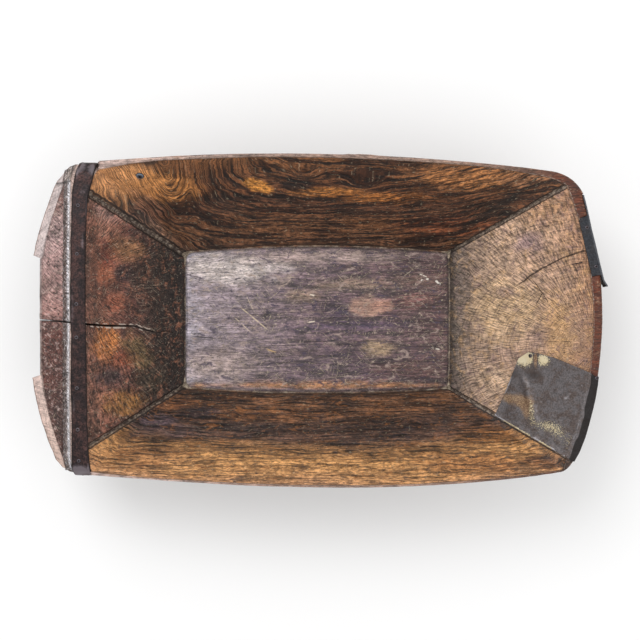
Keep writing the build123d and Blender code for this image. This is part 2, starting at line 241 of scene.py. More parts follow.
# ---- writing materials
class Shader:
    """A material's node tree, so that a finish can be written as a formula."""

    def __init__(self, name: str) -> None:
        """Start an empty material with a principled surface."""
        self.material = bpy.data.materials.new(name)
        self.material.use_nodes = True
        self.tree = self.material.node_tree
        self.surface = self.tree.nodes["Principled BSDF"]
        self.place = self.add("ShaderNodeTexCoord").outputs["Object"]

    def add(self, kind: str, **settings: object) -> Node:
        """Make a node."""
        node = self.tree.nodes.new(kind)
        for key, value in settings.items():
            setattr(node, key, value)
        return node

    def feed(self, node: Node, **values: Value) -> None:
        """Link sockets of a node to others, or set them to numbers or colours.

        Args:
            node: the node.
            **values: what each socket gets, by its name with _ for a space, or by _ and its number.
        """
        for name, value in values.items():
            socket = node.inputs[int(name[1:]) if name[0] == "_" else name.replace("_", " ")]
            if isinstance(value, bpy.types.NodeSocket):
                self.tree.links.new(value, socket)
            else:
                socket.default_value = value

    def own(self, name: str, colour: bool = False) -> Socket:
        """A value or a colour that the mesh carries at its points."""
        node = self.add("ShaderNodeAttribute", attribute_name=name)
        return node.outputs["Color" if colour else "Fac"]

    def math(self, operation: str, first: Value, second: Value = 0.0) -> Socket:
        """Join two numbers."""
        node = self.add("ShaderNodeMath", operation=operation)
        self.feed(node, _0=first, _1=second)
        return node.outputs[0]

    def times(self, first: Value, second: Value) -> Socket:
        """The product of two numbers."""
        return self.math("MULTIPLY", first, second)

    def plus(self, first: Value, second: Value) -> Socket:
        """The sum of two numbers."""
        return self.math("ADD", first, second)

    def minus(self, first: Value, second: Value) -> Socket:
        """The first number without the second."""
        return self.math("SUBTRACT", first, second)

    def about(self, value: Value, size: float) -> Socket:
        """A cloudy value moved to lie about 0 and made size times as large."""
        return self.times(self.minus(value, 0.5), size)

    def less(self, value: Value, share: float) -> Socket:
        """1 minus a share of a value, for darkening."""
        return self.minus(1.0, self.times(value, share))

    def rise(self, value: Value, start: float, end: float, low: float = 0.0, high: float = 1.0) -> Socket:
        """A smooth step from low to high as value goes from start to end."""
        node = self.add("ShaderNodeMapRange", interpolation_type="SMOOTHSTEP")
        self.feed(node, _0=value, _1=start, _2=end, _3=low, _4=high)
        return node.outputs[0]

    def around_one(self, value: Value, spread: Pair, contrast: float, top: float = 1.0) -> Socket:
        """A brightness that rises from 1 - contrast to 1 + top contrast as value crosses its spread."""
        return self.rise(value, *spread, 1 - contrast, 1 + top * contrast)

    def mix(self, share: Value, first: Value, second: Value, blend: str = "MIX") -> Socket:
        """Two colours mixed."""
        node = self.add("ShaderNodeMix", data_type="RGBA", blend_type=blend, clamp_factor=True)
        self.feed(node, Factor=share, _6=first, _7=second)
        return node.outputs[2]

    def tint(self, colour: Value, share: Value, strength: Value, tone: str) -> Socket:
        """A colour moved towards a tone by a share times a strength."""
        return self.mix(self.times(share, strength), colour, linear(tone))

    def dim(self, colour: Value, level: Value) -> Socket:
        """A colour times a brightness."""
        grey = self.add("ShaderNodeCombineColor")
        self.feed(grey, _0=level, _1=level, _2=level)
        return self.mix(1.0, colour, grey.outputs[0], "MULTIPLY")

    def noise(self, place: Value, detail: float = 2.0, harshness: float = 0.5, bend: float = 0.0) -> Socket:
        """Cloudy noise about 0.5 with cells of one unit of place."""
        node = self.add("ShaderNodeTexNoise")
        self.feed(node, Vector=place, Scale=1.0, Detail=detail, Roughness=harshness, Distortion=bend)
        return node.outputs[0]

    def cells(self, size: Size, detail: float = 2.0, harshness: float = 0.5, bend: float = 0.0,
              turn: float = 0.0) -> Socket:
        """Noise on the object's own place, turned about z and then divided by a size along each axis."""
        node = self.add("ShaderNodeMapping", vector_type="TEXTURE")
        sizes = size if isinstance(size, tuple) else (size,) * 3
        self.feed(node, Vector=self.place, Rotation=(0, 0, np.radians(turn)), Scale=tuple(side * MM for side in sizes))
        return self.noise(node.outputs[0], detail, harshness, bend)

    def layers(self, first: tuple[Value, float], second: tuple[Value, float], detail: float = 2.0,
               harshness: float = 0.6) -> Socket:
        """Noise on a place of two numbers, each divided by a size, for patterns that follow the growth layers."""
        node = self.add("ShaderNodeCombineXYZ")
        self.feed(node, _0=self.times(first[0], 1 / first[1]), _1=self.times(second[0], 1 / second[1]))
        return self.noise(node.outputs[0], detail, harshness)

    def axis(self, index: int) -> Socket:
        """One coordinate of the place, in millimetres."""
        node = self.add("ShaderNodeSeparateXYZ")
        self.feed(node, _0=self.place)
        return self.times(node.outputs[index], 1 / MM)

    def finish(self, colour: Value, gloss: Value, relief: Value, depth: float, metal: float = 0.0) -> Material:
        """Close the material."""
        bump = self.add("ShaderNodeBump")
        self.feed(bump, Strength=1.0, Distance=depth * MM, Height=relief)
        self.feed(self.surface, Base_Color=colour, Roughness=gloss, Normal=bump.outputs[0], Metallic=metal)
        return self.material


# ---- finishes
# parts of the range of a noise, from and to, that a step runs over
ALL = (0.3, 0.7)
MIDDLE = (0.34, 0.66)
PEAKS = (0.56, 0.66)

WOOD_RELIEF = 0.9  # millimetres
METAL_RELIEF = 0.5


@dataclass(frozen=True)
class Mark:
    """A straight scratch, crack or fleck on the floor, from one plan position to another."""

    start: Pair
    end: Pair
    width: float = 1.4
    colour: str = "#d8c4a6"
    strength: float = 0.8
    sway: float = 1.6  # how far it strays from the straight line
    overrun: float = 0.5  # how far past its ends it starts to show

    def draw(self, s: Shader) -> Socket:
        """1 where the distance across the line is under half its width and the place lies between its ends.

        Args:
            s: the shader being written.

        Returns:
            How much of the mark shows.
        """
        run = np.subtract(self.end, self.start)
        length = float(np.hypot(*run))
        across = float(run[0] / length), float(run[1] / length)
        x, y = (s.minus(s.axis(i), self.start[i]) for i in range(2))
        wander = s.about(s.cells(12, 3.0), self.sway)
        place = s.plus(s.times(x, across[0]), s.times(y, across[1]))
        away = s.plus(s.minus(s.times(y, across[0]), s.times(x, across[1])), wander)
        line = s.rise(s.math("ABSOLUTE", away), self.width * 0.8, self.width * 0.3)
        begun = s.rise(place, -self.overrun, 0.12 * length)
        ended = s.rise(place, length + self.overrun, 0.8 * length)
        broken = s.rise(s.cells(7, 3.0, 0.7), 0.38, 0.52)
        return s.times(s.times(line, s.times(begun, ended)), s.times(broken, self.strength))


@dataclass(frozen=True)
class Scratches:
    """Thin straight strokes in several directions, each thinned out by a cloud."""

    strokes: tuple[Pair, ...] = ((38, 22), (-47, 17), (8, 26), (74, 13))  # turn and length
    width: float = 1.2
    deep: float = 70.0  # size up a wall
    gap: Triple = (46, 40, 40)

    def draw(self, s: Shader) -> Socket:
        """The largest of noise steps stretched along each direction."""
        total = None
        for turn, length in self.strokes:
            line = s.rise(s.cells((length, self.width, self.deep), 1.0, 0.4, turn=turn), 0.67, 0.74)
            line = s.times(line, s.rise(s.cells(self.gap, turn=turn), 0.44, 0.6))
            total = line if total is None else s.math("MAXIMUM", total, line)
        return total


@dataclass(frozen=True)
class Wear:
    """What age has left on all the wood: burrs along the channels, lines round the floor, wear and dirt, with painted
    shadow beside the burrs, painted shade above the floor and along edges, and painted highlight on lit edges.
    """

    burr: tuple[str, str] = ("#453a34", "#9c8d7e")  # the strands beside a channel, dark and pale
    burr_share: float = 0.9
    lip: str = "#1f1714"  # painted shadow lines along the burrs
    lip_at: float = 1.25  # in widths of the channel
    lip_share: float = 0.9
    shade: str = "#2b221d"  # painted shade on the walls just above the floor
    shade_share: float = 0.55
    sill: tuple[str, str] = ("#8f7f6e", "#c8b8a2")  # the line round the floor, dark and pale
    sill_share: float = 0.7
    groove: str = "#2b211e"  # dark line beside it, on the floor
    groove_at: float = 3.1
    groove_share: float = 0.5
    worn: str = "#cdbcaf"
    worn_share: float = 0.85
    dirt: str = "#221b18"
    dirt_share: float = 0.92

    def burrs(self, s: Shader, colour: Socket, hip: Socket, rope: Socket) -> Socket:
        """The strands beside a channel, with painted shadow lines along them."""
        strands = s.mix(s.rise(rope, 0.45, 0.62), *map(linear, self.burr))
        colour = s.mix(s.times(s.rise(hip, 1.0, 0.7), self.burr_share), colour, strands)
        lip = s.rise(s.math("ABSOLUTE", s.minus(hip, self.lip_at)), 0.5, 0.2)
        return s.tint(colour, lip, self.lip_share, self.lip)

    def sills(self, s: Shader, colour: Socket, hip: Socket, rope: Socket) -> Socket:
        """Painted shade above the floor, and the pale and the dark line round it.

        Args:
            s: the shader being written.
            colour: the colour below.
            hip: distance from the nearest channel in its widths.
            rope: noise of the strands.

        Returns:
            The colour with them over it.
        """
        sill = s.plus(s.own("sill"), s.about(s.cells(26, 4.0, 0.65), 3.0))
        shade = s.times(s.rise(sill, 15.0, 3.0), s.rise(sill, 0.6, 2.2))
        colour = s.tint(colour, shade, self.shade_share, self.shade)
        corner = s.rise(hip, 4.5, 1.0)
        line = s.rise(s.minus(s.math("ABSOLUTE", sill), s.times(corner, 3.0)), 1.7, 0.5)
        line = s.times(line, s.rise(s.plus(s.about(s.cells(16, 4.0, 0.7), 1.6), corner), -0.2, 0.35))
        pale = s.mix(s.rise(rope, 0.4, 0.6), *map(linear, self.sill))
        colour = s.mix(s.times(line, self.sill_share), colour, pale)
        groove = s.rise(s.math("ABSOLUTE", s.plus(sill, self.groove_at)), 1.4, 0.5)
        return s.tint(colour, groove, self.groove_share, self.groove)

    def over(self, s: Shader, colour: Socket) -> Socket:
        """A colour with burrs, sills, wear and painted highlight, and dirt and painted shade over it, each with an
        edge broken by noise.

        Args:
            s: the shader being written.
            colour: the colour below.

        Returns:
            The colour with all of them over it.
        """
        grain = s.cells((7, 2.6, 2.6), 4.0, 0.7)
        hip = s.plus(s.own("hip"), s.about(s.cells(8, 4.0, 0.7), 1.3))
        rope = s.cells((6, 4.5, 4.5), 4.0, 0.7, turn=40)
        colour = self.sills(s, self.burrs(s, colour, hip, rope), hip, rope)
        worn = s.rise(s.plus(s.own("worn"), s.about(grain, 0.9)), 0.3, 0.75)
        pale = s.dim(linear(self.worn), s.rise(grain, *ALL, 0.65, 1.15))
        colour = s.mix(s.times(worn, self.worn_share), colour, pale)
        dirt = s.rise(s.plus(s.own("dirt"), s.about(grain, 0.7)), 0.25, 0.75)
        return s.tint(colour, dirt, self.dirt_share, self.dirt)


@dataclass(frozen=True)
class LongGrain:
    """Wood cut along its growth layers, dark figure over a painted tone.

    The mesh gives the tone, the depth through the layers, how strong the figure is, dirt and painted shade, and wear
    and painted highlight.
    """

    name: str
    figure: str = "#6f4a36"  # what the broad dark layers leave of the tone
    band: float = 9.0  # thickness of the broad dark layers
    line: float = 2.4  # thickness of the fine lines
    line_depth: float = 0.55
    pale_lines: float = 0.6  # share of the fine lines' strength on pale tones
    stroke: float = 0.5  # contrast of the short strokes along the grain
    cloud: float = 0.3
    fleck: float = 0.35  # how much shows of pale flecks
    fleck_tone: str = "#e0cfae"
    scratch: float = 0.0  # how much shows of pale scratches
    scratch_tone: str = "#d9c7a4"
    mottle: float = 0.0  # how much shows of warm and dark blotches
    warm: str = "#b39a7c"
    dark: str = "#37303c"
    pit: float = 0.6  # how much the pits darken it
    gloss: float = 0.5
    marks: tuple[Mark, ...] = ()

    def make(self) -> Material:
        """Tone times clouds, broad layers, fine lines, strokes and pits, then scratches, dirt and painted shade, and
        wear and painted highlight.
        """
        s = Shader(self.name)
        along = s.axis(0)
        depth = s.plus(s.own("layer_depth"), s.about(s.cells((55, 13, 13), 3.0, 0.55), 7.0))
        figure = s.own("figure")
        broad = s.rise(s.layers((along, 130), (depth, self.band), 3.0, 0.65), 0.46, 0.56)
        lines = s.rise(s.layers((along, 70), (depth, self.line)), 0.49, 0.6)
        strokes = s.layers((along, 11), (depth, 1.9), 3.0, 0.75)
        flecks = s.layers((along, 6), (depth, 2.0))
        pits = s.cells((4.2, 2.6, 2.6), 3.0, 0.7)
        cloud = s.cells((30, 14, 14), 5.0, 0.7)
        colour = s.dim(s.own("tone", colour=True), s.around_one(cloud, ALL, self.cloud))
        colour = s.mix(s.times(broad, figure), colour, s.mix(1.0, colour, linear(self.figure), "MULTIPLY"))
        strength = s.rise(figure, 0.0, 0.4, self.pale_lines * self.line_depth, self.line_depth)
        colour = s.dim(colour, s.less(lines, strength))
        colour = s.dim(colour, s.around_one(strokes, MIDDLE, self.stroke))
        if self.mottle:
            spots = s.cells((19, 10, 10), 5.0, 0.7, 1.1)
            colour = s.tint(colour, s.rise(spots, 0.54, 0.68), self.mottle, self.warm)
            colour = s.tint(colour, s.rise(spots, 0.46, 0.34), self.mottle, self.dark)
        colour = s.dim(colour, s.less(s.rise(pits, *PEAKS), self.pit))
        pale = s.dim(s.mix(0.45, colour, linear(self.fleck_tone)), 1.3)
        colour = s.mix(s.times(s.rise(flecks, 0.6, 0.7), self.fleck), colour, pale)
        if self.scratch:
            colour = s.tint(colour, Scratches().draw(s), self.scratch, self.scratch_tone)
        for mark in self.marks:
            colour = s.mix(mark.draw(s), colour, linear(mark.colour))
        relief = s.minus(s.times(strokes, 0.9), s.plus(s.times(lines, 0.35), s.times(pits, 0.5)))
        gloss = s.rise(cloud, *ALL, self.gloss - 0.12, self.gloss + 0.14)
        return s.finish(Wear().over(s, colour), gloss, relief, WOOD_RELIEF)


@dataclass(frozen=True)
class Check:
    """A thin crack in end grain, from one y and z to another, with a slight bow and wander."""

    start: Pair
    end: Pair
    bow: float = 0.0
    wander: float = 7.0
    tone: str = "#33241d"
    depth: float = 1.6  # how deep it is against the fine surface

    def draw(self, s: Shader) -> Socket:
        """1 where y lies on the line y0 + t(y1 - y0) + 4 bow t(1 - t) + wander, t being the share of the height.

        Args:
            s: the shader being written.

        Returns:
            How much of the crack shows.
        """
        (y0, z0), (y1, z1) = self.start, self.end
        share = s.times(s.minus(s.axis(2), z0), 1 / (z1 - z0))
        arch = s.times(s.times(share, s.minus(1.0, share)), 4 * self.bow)
        wander = s.about(s.cells(14, 4.0, 0.6), self.wander)
        line = s.plus(s.plus(y0, s.times(share, y1 - y0)), s.plus(arch, wander))
        away = s.math("ABSOLUTE", s.minus(s.axis(1), line))
        inside = s.times(s.rise(share, 0.0, 0.06), s.rise(share, 1.0, 0.85))
        return s.times(s.rise(away, 1.5, 0.4), inside)


@dataclass(frozen=True)
class EndGrain:
    """Wood cut across its growth layers: broken rings, strokes along the rays, blotches and checks."""

    name: str
    ring: float = 2.0  # thickness of a growth ring's dark part
    ring_strength: float = 0.4
    ray: float = 0.5  # contrast of the strokes along the rays
    cloud: float = 0.18
    blotch: float = 13.0
    warm: str = "#b0755a"  # colour of warm blotches, and how much of them
    warm_share: float = 0.0
    dark: str = "#3c302c"  # colour of dark blotches, and how much of them
    dark_share: float = 0.0
    pit: float = 0.55  # how much the pits darken it
    fleck: float = 0.35
    fleck_tone: str = "#efdcc4"
    scratch: float = 0.2
    scratch_tone: str = "#e6d3b8"
    gloss: float = 0.6
    checks: tuple[Check, ...] = ()

    def make(self) -> Material:
        """Tone times clouds, blotches, rings, ray strokes and pits, then checks, dirt and painted shade, and wear and
        painted highlight.
        """
        s = Shader(self.name)
        depth = s.plus(s.own("layer_depth"), s.about(s.cells(40), 7.0))
        around = s.plus(s.own("ray"), s.about(s.cells(34), 5.0))
        rings = s.rise(s.layers((around, 34), (depth, self.ring)), 0.5, 0.62)
        rays = s.layers((around, 1.5), (depth, 12.0), 3.0, 0.7)
        pits = s.cells(3.2, 3.0, 0.7)
        cloud = s.cells(32, 5.0, 0.7)
        mottle = s.cells(self.blotch, 5.0, 0.7, 0.6)
        colour = s.dim(s.own("tone", colour=True), s.around_one(cloud, (0.28, 0.72), self.cloud))
        if self.warm_share:
            colour = s.tint(colour, s.rise(mottle, 0.5, 0.68), self.warm_share, self.warm)
            colour = s.tint(colour, s.rise(mottle, 0.46, 0.34), self.dark_share, self.dark)
        colour = s.dim(colour, s.less(rings, self.ring_strength))
        colour = s.dim(colour, s.around_one(rays, (0.33, 0.67), self.ray, 0.8))
        colour = s.dim(colour, s.less(s.rise(pits, 0.55, 0.66), self.pit))
        colour = s.tint(colour, s.rise(pits, 0.4, 0.3), self.fleck, self.fleck_tone)
        colour = s.tint(colour, Scratches().draw(s), self.scratch, self.scratch_tone)
        relief = s.minus(s.times(rays, 0.8), s.plus(s.times(rings, 0.4), s.times(pits, 0.6)))
        for check in self.checks:
            crack = check.draw(s)
            colour = s.tint(colour, crack, 0.9, check.tone)
            relief = s.minus(relief, s.times(crack, check.depth))
        gloss = s.rise(cloud, *ALL, self.gloss - 0.12, self.gloss + 0.12)
        return s.finish(Wear().over(s, colour), gloss, relief, WOOD_RELIEF)


@dataclass(frozen=True)
class OldPaint:
    """What is left of a coat of paint on metal, with brown stain under it and painted shade over it."""

    stain: tuple[str, str] = ("#6b4a36", "#b79a77")
    stain_share: float = 0.75
    # paint colours, also used for the painted highlight along the patch's turned-up edge
    paint: tuple[str, str] = ("#f2e8cc", "#d6bf8a")
    paint_share: float = 0.85
    stand: float = 0.5  # how thick the paint is against the fine surface
    # colour of painted shade: on the patch's rim and outside, and in dark spots
    soot: str = "#161211"
    soot_share: float = 0.9

    def over(self, s: Shader, colour: Socket, blotch: Socket, grit: Socket) -> tuple[Socket, Socket]:
        """A colour with stain, flakes of paint and painted shade over it, where the mesh says they are.

        Args:
            s: the shader being written.
            colour: the metal's colour.
            blotch: its broad noise.
            grit: its fine noise.

        Returns:
            The colour, and how much paint is left.
        """
        flake = s.cells(1.9, 4.0, 0.8)
        stain = s.rise(s.plus(s.own("stain"), s.about(blotch, 0.6)), 0.3, 0.8)
        brown = s.mix(s.rise(flake, 0.4, 0.6), *map(linear, self.stain))
        colour = s.mix(s.times(stain, self.stain_share), colour, brown)
        left = s.rise(s.plus(s.own("paint"), s.about(flake, 2.4)), 0.5, 0.66)
        colour = s.mix(s.times(left, self.paint_share), colour, s.mix(blotch, *map(linear, self.paint)))
        soot = s.rise(s.plus(s.own("soot"), s.about(grit, 0.4)), *ALL)
        return s.tint(colour, soot, self.soot_share, self.soot), left


@dataclass(frozen=True)
class OldIron:
    """Dark metal with brown rust, fine pitting, bright rubbed places and painted sheen, and dirt and painted shade."""

    name: str
    base: str
    rust: str
    # colour of rubbed places and of painted sheen
    bright: str
    rust_share: float = 0.5
    rubbed: float = 0.75  # how bright rubbed places and painted sheen are
    # colour of dirt and of painted shade
    dirt: str = "#17110f"
    gloss: float = 0.42
    grit: float = 0.4  # contrast of its fine grain
    metal: float = 0.6
    paint: OldPaint | None = None

    def make(self) -> Material:
        """Two metal colours in blotches, rubbed edges and painted sheen, dirt and painted shade and, on painted metal,
        flakes of old paint.
        """
        s = Shader(self.name)
        blotch = s.cells(14, 5.0, 0.7)
        grit = s.cells(2.4, 3.0, 0.7)
        rusty = s.times(s.rise(blotch, 0.42, 0.62), self.rust_share)
        colour = s.mix(rusty, linear(self.base), linear(self.rust))
        colour = s.dim(colour, s.around_one(grit, MIDDLE, self.grit, 1.2))
        rubbed = s.rise(s.plus(s.own("worn"), s.about(blotch, 0.8)), 0.45, 0.8)
        colour = s.tint(colour, rubbed, self.rubbed, self.bright)
        colour = s.mix(s.own("dirt"), colour, linear(self.dirt))
        relief = s.plus(s.times(grit, 0.3), s.times(blotch, 0.6))
        if self.paint:
            colour, left = self.paint.over(s, colour, blotch, grit)
            relief = s.plus(relief, s.times(left, self.paint.stand))
        shine = s.rise(blotch, *ALL, self.gloss - 0.08, self.gloss + 0.14)
        return s.finish(colour, shine, relief, METAL_RELIEF, self.metal)


STRAP_IRON = OldIron("strap_iron", "#231a1b", "#432e2b", "#7a7075", rust_share=0.9, grit=0.6)
PLATE_IRON = OldIron("plate_iron", "#33353a", "#3d3531", "#5f6166", rust_share=0.35)
PATCH_TIN = OldIron("patch_tin", "#645f60", "#52453f", "#c0bdc2", rust_share=0.75, gloss=0.4, grit=0.3,
                    paint=OldPaint())
NAIL_IRON = OldIron("nail_iron", "#2f282a", "#46352f", "#6f6b73")
WALL_NAIL_IRON = OldIron("wall_nail_iron", "#4c525c", "#55463f", "#7f8792", rust_share=0.25)


# ---- the hollowed log
class Side(IntEnum):
    """Stretches of the log's outlines, in order from the split in the left end round to it again."""

    LEFT_FAR = 0
    TURN_FAR = 1  # beside the strap, where the long wall turns in
    FAR = 2
    RIGHT = 3
    NEAR = 4
    TURN_NEAR = 5
    LEFT_NEAR = 6


class Zone(IntEnum):
    """Surfaces of the log that were cut and worn differently. Each has its own finish."""

    FLOOR = 0
    FAR = 1
    NEAR = 2
    RIGHT = 3
    LEFT = 4
    RIM = 5
    BEVEL = 6
    LEDGE = 7
    LOBE = 8
    LUG = 9
    OUTSIDE = 10


STEPS = dict(zip(Side, (58, 12, 226, 124, 226, 12, 58)))  # columns along each
ROWS = {
    "floor": 21, "wall": 50, "rim": 8, "bevel": 5, "ledge": 6, "lobe": 5,
    "under": 6, "root": 4, "hull": 11, "taper": 8, "foot": 5,
}
FIRST = {side: sum(STEPS[other] for other in Side if other < side) for side in Side}
LAST = sum(STEPS.values())  # the column beside the split again


@dataclass(frozen=True)
class Outline:
    """A level outline of the log: seven bowed stretches between seven corners, from the split on."""

    corners: tuple[Pair, ...]
    bows: Numbers
    leans: Numbers = (0.0,) * 7
    # how far the right-hand corners are rounded along the side before and the side after
    far_round: Pair = (0.0, 0.0)
    near_round: Pair = (0.0, 0.0)

    def stretch(self, side: Side, share: Array) -> Array:
        """Chord plus bow times 4f(1 - f)(1 + lean(2f - 1)) outwards, f being the share of the way.

        Args:
            side: which stretch.
            share: shares of the way along it.

        Returns:
            Plan positions.
        """
        start = np.array(self.corners[side])
        chord = np.array(self.corners[(side + 1) % len(self.corners)]) - start
        outward = np.array([-chord[1], chord[0]]) / np.linalg.norm(chord)
        lean = 1 + self.leans[side] * (2 * share - 1)
        arch = self.bows[side] * 4 * share * (1 - share) * lean
        return start + share[..., None] * chord + arch[..., None] * outward

    def trace(self) -> Array:
        """All stretches one after another, a column apart, with the right-hand corners rounded.

        Returns:
            Plan positions, one for each column.
        """
        stretches = [self.stretch(side, clustered(STEPS[side])[:-1]) for side in Side]
        path = np.concatenate([*stretches, [self.corners[0]]])
        if any(self.far_round):
            path = self.rounded(path, FIRST[Side.RIGHT], self.far_round)
            path = self.rounded(path, FIRST[Side.NEAR], self.near_round)
        return path

    def rounded(self, path: Array, corner: int, reach: Pair) -> Array:
        """Near a corner the path becomes a smooth bow between A and B, the points where it leaves and joins.

        Args:
            path: plan positions of the columns.
            corner: the column at the corner.
            reach: how far from the corner A and B lie along the path.

        Returns:
            The path with that corner rounded.
        """
        step = np.linalg.norm(np.diff(path, axis=0), axis=1)
        along = np.concatenate([[0], np.cumsum(step)])
        away = along - along[corner]
        leave, join = (
            between(end, away, path)
            for end in (-reach[0], reach[1])
        )
        share = np.interp(away, (-reach[0], 0, reach[1]), (0, 0.5, 1))[:, None]
        curve = turned(leave, path[corner], join, share)
        inside = (away > -reach[0]) & (away < reach[1])
        return np.where(inside[:, None], curve, path)


@dataclass(frozen=True)
class Stain:
    """A soft-edged patch of another tone on a surface of the log, placed in plan."""

    middle: Pair
    reach: Pair
    colour: str
    strength: float = 1.0
    turn: float = 0.0  # degrees
    soft: float = 1.0  # width of its edge

    def weight(self, points: Array) -> Array:
        """Strength where the ellipse's own distance, roughened by noise, is under 1, fading beyond it.

        Args:
            points: positions in millimetres.

        Returns:
            How much of the stain lies on each point.
        """
        x, y = points[..., 0] - self.middle[0], points[..., 1] - self.middle[1]
        turn = np.radians(self.turn)
        along = (x * np.cos(turn) + y * np.sin(turn)) / self.reach[0]
        across = (y * np.cos(turn) - x * np.sin(turn)) / self.reach[1]
        ragged = (0.3 * rough(points, (22, 9, 9), 31) + 0.15 * rough(points, (9, 5, 5), 32)) * self.soft
        return self.strength * eased(np.hypot(along, across) + ragged, 1 + 0.35 * self.soft, 1 - 0.55 * self.soft)


@dataclass(frozen=True)
class Channel:
    """A gouge channel up one corner of the hollow."""

    column: int
    width: float = 3.0
    depth: float = 2.6
    burr: float = 0.7  # height of the lip beside it
    burr_at: float = 1.9  # in widths from its middle
    burr_width: float = 0.8
    smooth: float = 0.8  # share of the hewing that is lost beside it
    uneven: float = 0.5


@dataclass(frozen=True)
class StrapBed:
    """The worn shoulder of the rim under one fold of the strap."""

    way: int  # 1 on the far side, -1 on the near one
    fold: float  # from the middle of the log to the fold
    side: float  # and to the leg
    right: float  # x where the bed ends
    left: float = -372.0
    drop: float = 14.0
    gap: float = 0.5
    batter: float = 0.62  # how fast the side falls in below the band


STRAP_BEDS = (StrapBed(1, 219.9, 235.7, -328), StrapBed(-1, 222.4, 232.5, -340))


@dataclass(frozen=True)
class Coat:
    """Tone of one surface: colours at stops along an axis, with ragged borders, and stains over them."""

    axis: int  # 0 along the log, 1 across it, 2 up a wall
    ragged: float  # millimetres that its borders stray
    figure: float  # how strongly the dark growth layers show
    stops: tuple[tuple[float, str], ...]
    stains: tuple[Stain, ...] = ()

    def colour(self, points: Array) -> Array:
        """Linear colour read between the stops at the place along the axis plus ragged noise.

        Args:
            points: positions in millimetres.

        Returns:
            Red, green and blue for each point.
        """
        place = points[..., self.axis] + self.ragged * (
            0.7 * rough(points, (95, 30, 30), 41) + 0.3 * rough(points, (28, 9, 9), 42)
        )
        at = [stop for stop, _ in self.stops]
        shades = np.array([linear(code)[:3] for _, code in self.stops])
        tone = between(place, at, shades)
        for stain in self.stains:
            share = stain.weight(points)[..., None]
            tone += share * (np.array(linear(stain.colour)[:3]) - tone)
        return tone


@dataclass(frozen=True)
class Eye:
    """A place where the growth layers bulge, so that they show as a pointed oval on the wall."""

    x: float
    z: float
    half_x: float
    half_z: float
    lift: float
    side: int  # 1 on the far wall, -1 on the near one


@dataclass(frozen=True)
class PlatePlace:
    """Where the rim plate lies: its far outer corner on the rim, and the way that it runs."""

    corner: Pair = (401.5, 188.0)
    along: Pair = (0.2283, -0.9736)
    length: float = 138.0
    sheet: float = 2.0

    @property
    def outward(self) -> Array:
        """Unit direction in plan out of the plate's outer face."""
        return np.array([-self.along[1], self.along[0]])

    def local(self, points: Array) -> tuple[Array, Array]:
        """Distance of points along the plate from its far end, and out from its outer face."""
        away = points[..., :2] - np.array(self.corner)
        return away @ np.array(self.along), away @ self.outward

    def at(self, start: Array, out: Array, z: Array) -> Array:
        """Points at a distance along the plate, out from its outer face, and a height."""
        plan = np.array(self.corner) + start[..., None] * np.array(self.along) + out[..., None] * self.outward
        return np.concatenate([plan, np.broadcast_to(z, start.shape)[..., None]], axis=-1)


PLATE = PlatePlace()


@dataclass(frozen=True)
class Growth:
    """How the growth layers of the log run on its surfaces."""

    left_pith: Pair = (63.0, 215.0)  # y and z of the pith at each end
    right_pith: Pair = (-38.0, 200.0)
    ray_scale: float = 90.0  # millimetres to a radian round the pith
    foot: float = 60.0  # height that the far wall's lines are measured from
    left_turn: float = 190.0  # from here leftwards the far wall's lines steepen
    steep: Triple = (0.55, 0.5, 0.002)  # their slope along, up and its fall
    bend: Triple = (215.0, 9.0, 15.0)  # where they bend over, how far and how softly
    level: tuple[float, float, float, float] = (0.75, 0.3, 170.0, 40.0)  # slope up, rise, its start and softness
    tongue: float = 14.0  # how round the tips are where both families meet

    def rings(self, points: Array, right: Array) -> tuple[Array, Array]:
        """Distance from the pith's line, and the angle round it times ray_scale."""
        pith_y, pith_z = (np.where(right, self.right_pith[i], self.left_pith[i]) for i in range(2))
        y, z = points[..., 1] - pith_y, points[..., 2] - pith_z
        return np.hypot(y, z), np.arctan2(y, -z) * self.ray_scale

    def tongues(self, points: Array) -> Array:
        """The soft minimum -k log(e^(-a/k) + e^(-b/k)) of lines that fall to the right and level ones.

        Args:
            points: the grid.

        Returns:
            Millimetres through the layers of the far wall.
        """
        x, height = points[..., 0], points[..., 2] - self.foot
        along, up, fall = self.steep
        amber = eased(x, -self.left_turn, -self.left_turn - 45)
        steep = along * (x + self.left_turn) + up * (1 + amber) * height - fall * height**2
        at, bend, soft = self.bend
        steep = steep - bend * np.logaddexp(0, -(x + at) / soft)
        up, rise, at, soft = self.level
        level = up * height - rise * np.logaddexp(0, (x - at) / soft) * soft
        k = self.tongue
        wander = 5 * rough(points, (75, 40, 26), 23) + 3.5 * amber * rough(points, (17, 17, 17), 27)
        return -k * np.logaddexp(-steep / k, -level / k) + wander


EYES = (
    Eye(73, 156, 26, 11, 13.0, 1),
    Eye(-20, 172, 20, 8, 7.0, 1),
    Eye(-136, 78, 18, 9, 6.0, -1),
    Eye(154, 95, 20, 9, 6.0, -1),
)

